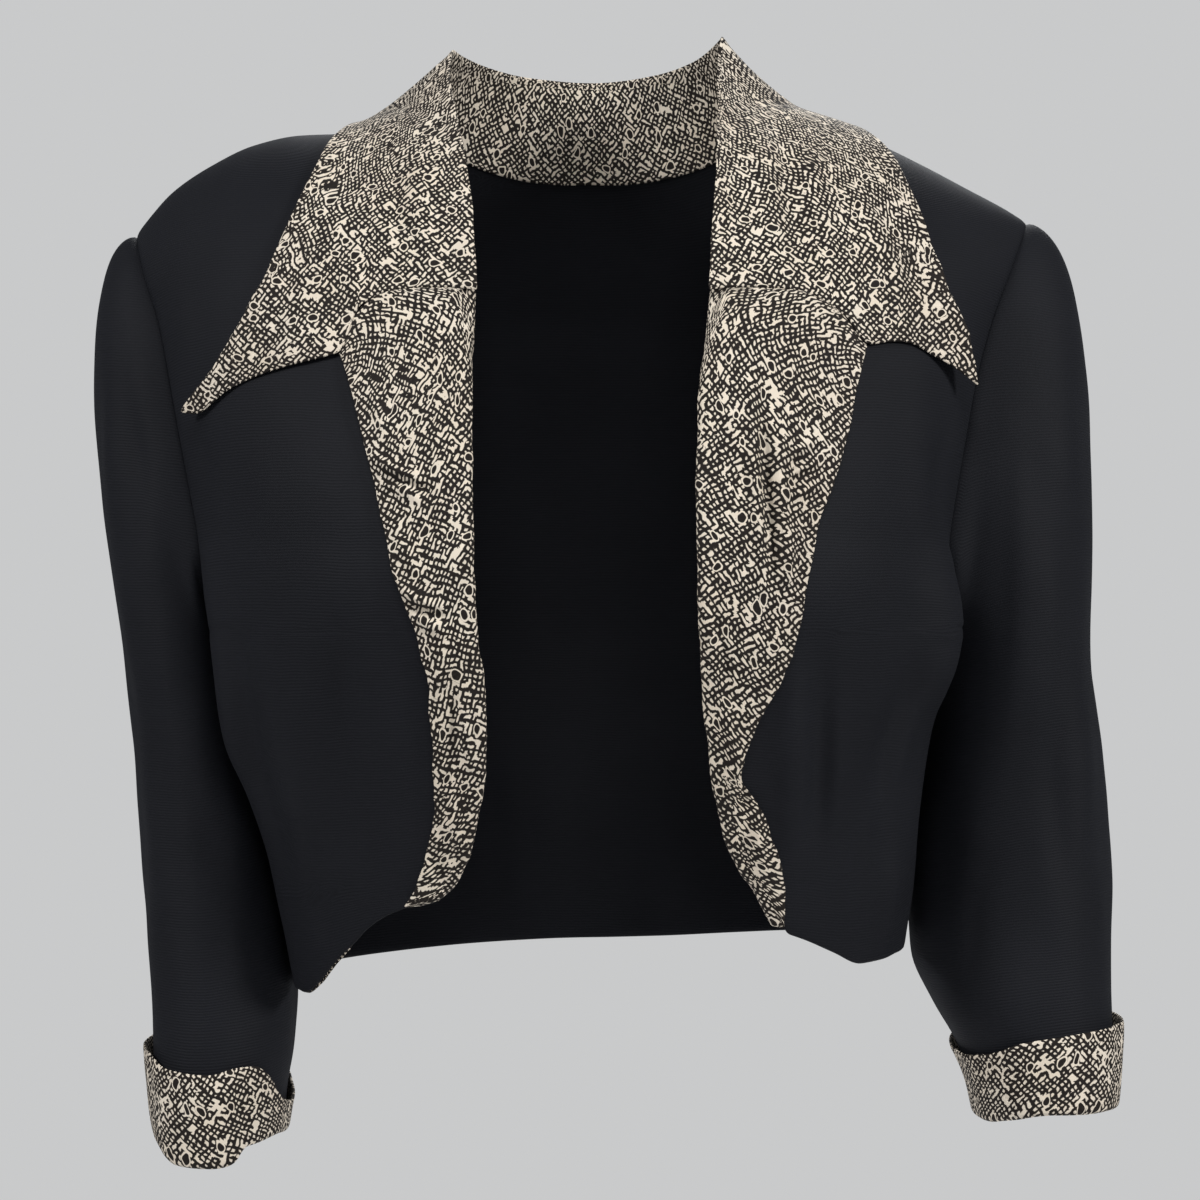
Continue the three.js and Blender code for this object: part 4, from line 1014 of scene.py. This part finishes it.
for side in ("right", "left"):
    lines = []
    outside = CLOTH + LAYER_GAP
    for i in range(CUFF_ROWS + CUFF_TURN + CUFF_INSIDE + 1):
        line = []
        for k in range(CUFF_COLUMNS + 1):
            angle = 2 * math.pi * (k % CUFF_COLUMNS) / CUFF_COLUMNS
            top, end = cuff_edge(side, angle, "Top"), cuff_edge(side, angle, "End")
            if i <= CUFF_ROWS:
                t = i / CUFF_ROWS
                z, proud = mix(top, end + CUFF_BEND, t), outside + CUFF_FLARE * (1 - t)
            elif i <= CUFF_ROWS + CUFF_TURN:
                turn = math.pi * (i - CUFF_ROWS) / CUFF_TURN
                z = end + CUFF_BEND - CUFF_BEND * math.sin(turn)
                proud = mix(-CUFF_BEND, outside, (1 + math.cos(turn)) / 2)
            else:
                z = end + CUFF_BEND + CUFF_LINING * (i - CUFF_ROWS - CUFF_TURN) / CUFF_INSIDE
                proud = -CUFF_BEND
            point = sleeve_point(side, z, angle, proud)
            line.append(point + sleeve_fold(side, point, angle))
        lines.append(line)

    def cuff_lift(point, row, column):
        angle = 2 * math.pi * column / CUFF_COLUMNS
        round_arm = Vector((3 * math.cos(angle), 3 * math.sin(angle), SIGN[side] * 5))
        small = billow(point, 0.25, 0.09)
        return (billow(round_arm, 0.8, 1) + small) * (1 if row <= CUFF_ROWS else CUFF_STILL)

    cuff_weft = ((0, 0), (0, CUFF_COLUMNS))
    cuff = cloth_on(
        "cuff_band_" + side, lines, -SIGN[side], cuff_lift, cuff_weft, closed=True, thick=PRINT_THICK
    )
    cuff.data.materials.append(print_cloth)
    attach(cuff, "root")
    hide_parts("cuff_" + side)
    under = ["sleeve_tube_" + side]


# The lapels are bands of the printed crepe. Each is sewn inside the front edge, comes out round it in
# a soft roll and lies back on the front, wide at the notch and narrow at the hem.
LAPEL_HEIGHTS = [-357, -348, -335, -318, -303, -290, -275, -250, -229, -213, -188, -163, -133, -112]
LAPEL_OUTS = {
    "right": [86, 79, 71.6, 67.2, 65.2, 65.1, 65.5, 67.1, 72.5, 78.7, 85, 90.6, 97, 103],
    "left": [80.8, 82, 81.3, 76.4, 70.3, 62.3, 66.5, 79, 85.9, 88.5, 94, 103.5, 110.7, 116.3],
}
LAPEL_EDGE = {side: curve(LAPEL_HEIGHTS, outs) for side, outs in LAPEL_OUTS.items()}
# The collar's roll and its outer edge, as x outwards, y and z, at shares of the way from the gorge to the
# centre of the back, and a little past it. The lapel meets the collar along its bottom edge, which is
# given for lines from the roll to the point: how far away from the roll, and how far up.
WAYS = [0, 0.14, 0.29, 0.42, 0.53, 0.63, 0.76, 0.88, 1, 1.12]
COLLAR_ROLL = {
    "right": [(48.7, -110, -86), (50.6, -93, -54), (55, -70, -24), (60.5, -43, 2), (64, -18, 23),
              (62.5, 3, 36.5), (53, 29, 35), (30, 49, 32), (0, 57, 31), (-30, 49, 32)],
    "left": [(51, -110, -86), (53.5, -93, -54), (56, -70, -24), (57, -43, 2), (58, -18, 24),
             (60, 3, 42.5), (52, 29, 38), (30, 49, 33), (0, 57, 31), (-30, 49, 33)],
}
COLLAR_EDGE = {
    "right": [(179.2, -70, -135.5), (158.9, -80, -110.4), (142, -78, -82), (126, -56, -47), (115, -28, -20),
              (105, 4, 2), (88, 48, -14), (50, 72, -36), (0, 78, -42), (-50, 72, -36)],
    "left": [(169.3, -72, -124.5), (165, -73, -102), (155, -68, -76), (145, -50, -47), (133, -26, -20),
             (115, 4, 0), (92, 48, -16), (50, 72, -36), (0, 78, -42), (-50, 72, -36)],
}
NOTCH_LINE, LAST_LINE = 4, 8
LINES = range(LAST_LINE + 1)
COLLAR_BOTTOM = {
    "rightAway": curve(LINES, [0.06, 0.18, 0.3, 0.38, 0.435, 0.58, 0.75, 0.89, 1]),
    "rightRise": curve(LINES, [3, 9, 13, 9, -6, -4, -5.5, -6, 0]),
    "leftAway": curve(LINES, [0.06, 0.2, 0.35, 0.47, 0.56, 0.66, 0.78, 0.9, 1]),
    "leftRise": curve(LINES, [2.5, 8, 12, 8, -1.5, 3, 6.5, 5, 0]),
}
# How the lapel turns over, crowns and lies loose, how it tucks under the collar, and its inner return.
LAPEL_TURN, LAPEL_CROWN, LAPEL_LOOSE = 4, 0.5, 0.4
SEAM_HOLD = 6
OVER_HEM, UNDER_GORGE = 0.4, 0.2
ROLL_RIPPLE, EDGE_RIPPLE = (0.7, 16), (0.9, 11)
STILL_ENDS, NOTCH_FROM = 12, 0.75
TUCK_UP, TUCK_IN, TUCK_AWAY = 1.6, 1.1, 0.8
RETURN_WIDTH, RETURN_AT_HEM = 10, 0.3
SLOPE_STEP = 2
LAPEL_ALONG, LAPEL_TUCK, LAPEL_ACROSS, LAPEL_INSIDE, ROLL_STEPS = 186, 2, 38, 4, 8
LAPEL_CREASES = {
    "right": [
        (88, -162.7, 66.8, -172.3, 1, 1.7, -2.3),
        (89, -158.8, 68, -167.9, 1, 2.3, 4.4),
        (84, -168.6, 70, -176.4, -1, 2.6, 2.6),
        (76, -217, 60, -224, 1, 1.7, -2.3),
        (77, -212.8, 61, -219.9, 1, 2.3, 4.2),
        (73, -222.4, 60, -229.4, 1, 2.3, 2.8),
        (51, -256, 50, -286, 1, 2.4, 2.9),
        (57, -250, 55, -284, 0, 2.2, -1.8),
        (58, -298, 52, -326, 1, 2.8, 2.5),
        (66, -322, 60, -345, 0, 2.6, -1.7),
        (60, -238, 66, -262, 0, 2.4, 2.0),
        (92, -128, 84, -150, 0, 3, 1.4),
        (62, -140, 58, -205, 1, 4, 1.6),
        (80, -184, 72, -205, 1, 2.6, 1.4),
        (52, -192, 55, -216, 0, 2.2, 1.8),
    ],
    "left": [
        (71.8, -125, 76.4, -214, -1, 1.9, -2.3),
        (66.4, -126, 71.2, -212, -1, 2.9, 4.4),
        (78, -146, 82, -208, -1, 2.8, 4.2),
        (78.5, -166, 95, -155, 1.2, 1.6, -1.8),
        (78.5, -163, 93, -150.5, 1.2, 1.7, 2.2),
        (78, -171, 96, -163, 1, 1.6, -1.7),
        (78, -168.6, 95, -159.4, 1, 1.5, 2.0),
        (78.5, -175, 94, -171, 0.5, 1.6, 1.8),
        (74.5, -162, 83.5, -146, 0, 1.5, 1.6),
        (59, -136, 62, -162, 0, 2.4, 2.2),
        (64, -170, 62, -206, 0, 3, 1.6),
        (86, -186, 78, -210, 0, 2.4, 2.0),
        (80, -214, 70, -232, 1, 2.2, -1.4),
        (52, -222, 58, -262, 0, 2.8, -1.7),
        (48, -216, 54, -258, 0, 2.6, 2.2),
        (56, -262, 62, -296, 1, 2.8, 2.9),
        (62, -286, 66, -306, 0, 2.4, -2.2),
        (68, -300, 73, -334, 0, 2.8, 2.7),
        (64, -318, 70, -346, 0, 2.4, -1.5),
        (60, -284, 56, -300, 0, 2.2, 2.0),
    ],
}


def body_at(side, face, x, z):
    """The body's surface at x and z, in front or behind."""
    up = (z - BUST) / (SHOULDER[side](x) - BUST) if z > BUST else 0
    level = body_level(side, face, min(z, BUST), min(up, MOST_UP))
    out = x
    for again in range(3):
        out += x - abs(body_point(level, angle_at(level, out)).x)
    return Vector((SIGN[side] * x, body_point(level, angle_at(level, out)).y, z))


def on_front(side, x, z, proud):
    """A point on a front at x and z, moved off the cloth by proud."""
    point = fold_front(side, body_at(side, "front", x, z))
    here = {}
    for name, dx, dz in (("in", -1, 0), ("out", 1, 0), ("down", 0, -1), ("up", 0, 1)):
        here[name] = body_at(side, "front", x + dx * SLOPE_STEP, z + dz * SLOPE_STEP)
    across, upward = here["out"] - here["in"], here["up"] - here["down"]
    normal = across.cross(upward).normalized()
    return point + normal * (proud if normal.y < 0 else -proud)


def bottom_edge(side, line):
    """A place on the collar's bottom edge, as x and z. Up to the notch it is the seam to the lapel."""
    roll, tip = COLLAR_ROLL[side][0], COLLAR_EDGE[side][0]
    away = COLLAR_BOTTOM[side + "Away"](line)
    return mix(roll[0], tip[0], away), mix(roll[2], tip[2], away) + COLLAR_BOTTOM[side + "Rise"](line)


def turn_over(inside, crest, outside):
    """Points round a fold between two leaves, with its crest at crest."""
    back = (inside + outside) / 2
    half = (outside - inside) / 2
    turns = [math.pi * i / ROLL_STEPS for i in range(ROLL_STEPS + 1)]
    return [back - half * math.cos(turn) + (crest - back) * math.sin(turn) for turn in turns]


def ripple(place, seed, height, length):
    """A small uneven wave along an edge, with a finer one on it."""
    small = 0.5 * noise.noise(Vector((place / length * 2.6, seed, 3.5)))
    return height * (noise.noise(Vector((place / length, seed, 0.5))) + small)


for side in ("right", "left"):
    low = FRONT_HEM[side](HEM_OUTS[0]) + OVER_HEM
    notch_z = bottom_edge(side, NOTCH_LINE)[1] - UNDER_GORGE
    lines = []
    for i in range(LAPEL_ALONG + 1 + LAPEL_TUCK):
        t = min(1, i / LAPEL_ALONG)
        under = max(0, i - LAPEL_ALONG) / LAPEL_TUCK
        roll_z, edge_z = mix(low, GORGE - UNDER_GORGE, t), mix(low, notch_z, t)
        still = smooth(t * STILL_ENDS) * smooth((1 - t) * STILL_ENDS)
        roll = FRONT_EDGE[side](roll_z) + ripple(roll_z, SIGN[side] * 4, *ROLL_RIPPLE) * still
        edge_x = LAPEL_EDGE[side](edge_z) + ripple(edge_z, SIGN[side] * 9, *EDGE_RIPPLE) * still
        top = smooth((t - NOTCH_FROM) / (1 - NOTCH_FROM))
        outer = []
        for j in range(LAPEL_ACROSS + 1):
            share = j / LAPEL_ACROSS
            seam_x, seam_z = bottom_edge(side, share * NOTCH_LINE)
            x = mix(mix(roll + LAPEL_TURN, edge_x, share), seam_x, top)
            z = mix(mix(roll_z, edge_z, share), seam_z - UNDER_GORGE, top) + TUCK_UP * under
            proud = LAYER_GAP + CLOTH + LAPEL_CROWN * math.sin(math.pi * share) - TUCK_IN * under
            outer.append(on_front(side, x, z, proud))
        back_width = RETURN_WIDTH * mix(RETURN_AT_HEM, 1, smooth(t * 8))
        inner = []
        for j in range(LAPEL_INSIDE + 1):
            x = roll + LAPEL_TURN + back_width * (1 - j / LAPEL_INSIDE)
            inner.append(on_front(side, x, roll_z + TUCK_UP * under, -LAYER_GAP - 2 * CLOTH))
        crest = on_front(side, roll + TUCK_AWAY * under, roll_z + TUCK_UP * under, -CLOTH / 2)
        lines.append(inner[:-1] + turn_over(inner[-1], crest, outer[0]) + outer[1:])

    def lapel_lift(point, row, column):
        if column < LAPEL_INSIDE + ROLL_STEPS // 2:
            return 0
        small = billow(point, 0.22, 0.11, (SIGN[side] * 3, 0, 0))
        broad = billow(point, 0.5, 0.035)
        creases = crease_lift(LAPEL_CREASES[side], abs(point.x), point.z)
        return (creases + small + broad + LAPEL_LOOSE) * smooth((LAPEL_ALONG - row) / SEAM_HOLD)

    lapel_weft = ((LAPEL_ALONG // 2, LAPEL_INSIDE + ROLL_STEPS), (LAPEL_ALONG // 2, len(lines[0]) - 1))
    lapel = cloth_on("lapel_band_" + side, lines, -SIGN[side], lapel_lift, lapel_weft, thick=PRINT_THICK)
    lapel.data.materials.append(print_cloth)
    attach(lapel, "root")
    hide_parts("lapel_" + side)
    under = ["front_panel_" + side]


# A narrow facing of the print is sewn inside the hem of the right front. It was cut a little too
# deep there, so that a thin line of it shows under the black edge.
FACING_ENDS = (7, 38)
FACING_DEPTH, FACING_SHOWS, FACING_THICK = 12, 1.0, 0.8
FACING_RIPPLE = (0.6, 9)
FACING_INSET = 0.35
FACING_ROWS, FACING_COLUMNS = 6, 72
hem_run = evenly(front_lines("right")[0][FACING_ENDS[0] : FACING_ENDS[1] + 1], FACING_COLUMNS)
lines = []
for i in range(FACING_ROWS + 1):
    line = []
    for j, edge in enumerate(hem_run):
        shows = FACING_SHOWS * (0.75 + ripple(edge.x, 2, *FACING_RIPPLE))
        shows *= smooth(min(j, FACING_COLUMNS - j) / SEAM_HOLD)
        z = mix(edge.z - shows, edge.z + FACING_DEPTH, i / FACING_ROWS)
        line.append(on_front("right", abs(edge.x), z, -CLOTH - FACING_INSET))
    lines.append(line)


def facing_lift(point, row, column):
    """The facing lies nearly flat behind the hem."""
    return billow(point, 0.15, 0.2)


facing_weft = ((0, 0), (0, FACING_COLUMNS))
facing = cloth_on("hem_facing_right", lines, 1, facing_lift, facing_weft, thick=FACING_THICK)
facing.data.materials.append(print_cloth)
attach(facing, "root")


# The collar is printed crepe in one piece, stand and fall, with long points. Its stand rises from the
# neckline, rolls over and falls on to the shoulders, and the seam to the lapels is hidden in the print.
STAND_INSET, STAND_DOWN, NECK_MIDDLE = (3.6, 2.4), 2, 10
FALL_GAP, FALL_ARCH, NECK_GAP, LYING_TO = 1, 0.8, 1.6, 0.14
SHOULDER_WAY, SEAM_STEPS = 0.63, 200
COLLAR_HOLLOW = {"right": 2, "left": 7}
COLLAR_LENGTH = 230
EDGE_SWAY, ROLL_SWAY = Vector((0.9, 0, 0.5)), Vector((0.6, 0, 0.3))
COLLAR_EDGE_RIPPLE, COLLAR_ROLL_RIPPLE = (1, 13), (1, 17)
COLLAR_LOOSE = 0.3
COLLAR_HALF, STAND_STEPS, FALL_STEPS = 64, 8, 32
WEFT_ROWS = 12
COLLAR_CREASES = {
    "right": [
        (104, -72, 94, -101, 0, 2.6, 2.4),
        (98, -70, 88, -95, 0, 2.2, -1.8),
        (92, -82, 82, -104, 0, 2.2, 1.9),
        (112, -84, 104, -108, 0, 2.6, -1.4),
        (74, -20, 66, -78, 3, 4.5, 2.4),
        (86, -26, 80, -66, 2, 4, -1.5),
        (120, -60, 138, -106, 2, 5, -1.8),
        (150, -104, 166, -128, 0, 3.6, 1.9),
        (132, -98, 150, -124, 0, 3, -1.2),
    ],
    "left": [
        (85, -8, 91, -82, -2, 5, -2.6),
        (77, -14, 82, -76, -1, 4.4, 2.9),
        (98, -24, 104, -80, -2, 5, 1.7),
        (118, -44, 134, -92, 2, 5, 2.4),
        (128, -44, 146, -90, 2, 4.4, -1.7),
        (106, -86, 100, -112, 0, 2.6, -2.0),
        (112, -84, 108, -110, 0, 2.4, 2.0),
        (94, -92, 88, -112, 0, 2.4, 1.5),
        (148, -84, 162, -114, 0, 4.4, -1.7),
    ],
}


def point_curve(places, points):
    """A smooth curve through points in space."""
    parts = [curve(places, [point[axis] for point in points]) for axis in range(3)]
    return lambda at: Vector(part(at) for part in parts)


def clear_of_body(side, point, proud):
    """Moves a point of the collar out until it lies at least proud above the shoulder and chest."""
    face = "front" if point.y < 0 else "back"
    power, out = ARCH_ROUND[face], abs(point.x)
    up = max(0, (point.z - BUST) / (SHOULDER[side](out) - BUST))
    oval = (1 - min(1, out / REACH[side](up)) ** GIRTH_ROUND) ** (1 / GIRTH_ROUND)
    depth = BODY[face](BUST) * max(0.02, oval)
    size = ((abs(point.y) / depth) ** power + up**power) ** (1 / power)
    want = 1 + proud / math.hypot(point.y, point.z - BUST)
    if size >= want:
        return point
    return Vector((point.x, point.y * want / size, BUST + (point.z - BUST) * want / size))


def neck_seam(side):
    """The neck seam of one side, from the gorge to the shoulder, and on to the centre of the back."""
    top = SHOULDER[side](NECK_HALF)
    first = math.asin(((GORGE - BUST) / (top - BUST)) ** (ARCH_ROUND["front"] / 2))
    front = []
    for k in range(NECK_POINTS + 1):
        up = math.sin(mix(first, math.pi / 2, k / NECK_POINTS)) ** (2 / ARCH_ROUND["front"])
        level = body_level(side, "front", BUST, min(up, MOST_UP))
        point = body_point(level, angle_at(level, front_inner(side, mix(BUST, top, up))))
        front.append(Vector((abs(point.x), point.y, point.z)))
    half = back_halves[side][-1][: BACK_NECK + 1]
    back = [Vector((abs(point.x), point.y, point.z)) for point in reversed(half)]
    return evenly(front, SEAM_STEPS), evenly(back, SEAM_STEPS)


def collar_lines(side):
    """The lines of half of the collar, each from the neck seam up the stand, over and down the fall."""
    roll_at = point_curve(WAYS, COLLAR_ROLL[side])
    edge_at = point_curve(WAYS, COLLAR_EDGE[side])
    front, back = neck_seam(side)
    lines = []
    for i in range(COLLAR_HALF + 1):
        way = i / COLLAR_HALF
        roll, edge = roll_at(way), edge_at(way)
        still = smooth(way * 14) * smooth((1 - way) * 6)
        place = way * COLLAR_LENGTH
        edge = edge + EDGE_SWAY * ripple(place, SIGN[side] * 6, *COLLAR_EDGE_RIPPLE) * still
        roll = roll + ROLL_SWAY * ripple(place, SIGN[side] * 7, *COLLAR_ROLL_RIPPLE) * still
        if way < SHOULDER_WAY:
            spot = front[round(way / SHOULDER_WAY * SEAM_STEPS)]
        else:
            spot = back[round((way - SHOULDER_WAY) / (1 - SHOULDER_WAY) * SEAM_STEPS)]
        inward = Vector((-spot.x, NECK_MIDDLE - spot.y, 0)).normalized()
        foot = spot + inward * mix(*STAND_INSET, smooth(way / 0.4))
        foot.z -= STAND_DOWN
        inside = roll.lerp(foot, 0.2)
        line = [foot.lerp(inside, j / STAND_STEPS) for j in range(STAND_STEPS)]
        fall = []
        for j in range(FALL_STEPS + 1):
            mark = LAST_LINE * j / FALL_STEPS
            away = COLLAR_BOTTOM[side + "Away"](mark)
            arch = math.sin(math.pi * away)
            point = roll.lerp(edge, away)
            point.z += COLLAR_BOTTOM[side + "Rise"](mark) * (1 - smooth(way / 0.3))
            point.z -= COLLAR_HOLLOW[side] * arch * smooth(way / 0.5)
            lying = max(0, 1 - way / LYING_TO) * (1 - smooth((away - 0.5) / 0.4))
            flat = on_front(side, point.x, point.z, LAYER_GAP + CLOTH + LAPEL_CROWN * arch)
            proud = LAYER_GAP + CLOTH + FALL_GAP + FALL_ARCH * arch + NECK_GAP * smooth(way * 2 - 0.4)
            over = clear_of_body(side, point, proud)
            fall.append(over.lerp(Vector((abs(flat.x), flat.y, flat.z)), lying))
        line += turn_over(inside, roll, fall[0]) + fall[1:]
        lines.append([Vector((point.x * SIGN[side], point.y, point.z)) for point in line])
    return lines


def collar_lift(point, row, column):
    """Small billows on the fall of the collar, and creases on the part that shows in front."""
    fall = column - STAND_STEPS - ROLL_STEPS // 2
    if fall < 0:
        return 0
    lift = billow(point, 0.2, 0.1) + billow(point, 0.7, 0.028, (2, 5, 0))
    if point.y < 0:
        side = "left" if point.x > 0 else "right"
        lift += crease_lift(COLLAR_CREASES[side], abs(point.x), point.z)
    return (lift + COLLAR_LOOSE) * smooth(fall / SEAM_HOLD)


lines = collar_lines("right") + list(reversed(collar_lines("left")))[1:]
collar_weft = tuple((COLLAR_HALF + rows, STAND_STEPS + ROLL_STEPS) for rows in (-WEFT_ROWS, WEFT_ROWS))
collar = cloth_on("collar_band", lines, 1, collar_lift, collar_weft, thick=PRINT_THICK)
collar.data.materials.append(print_cloth)
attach(collar, "root")
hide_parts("collar")
under = ["front_panel_right", "front_panel_left", "back_panel"]


low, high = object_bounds()
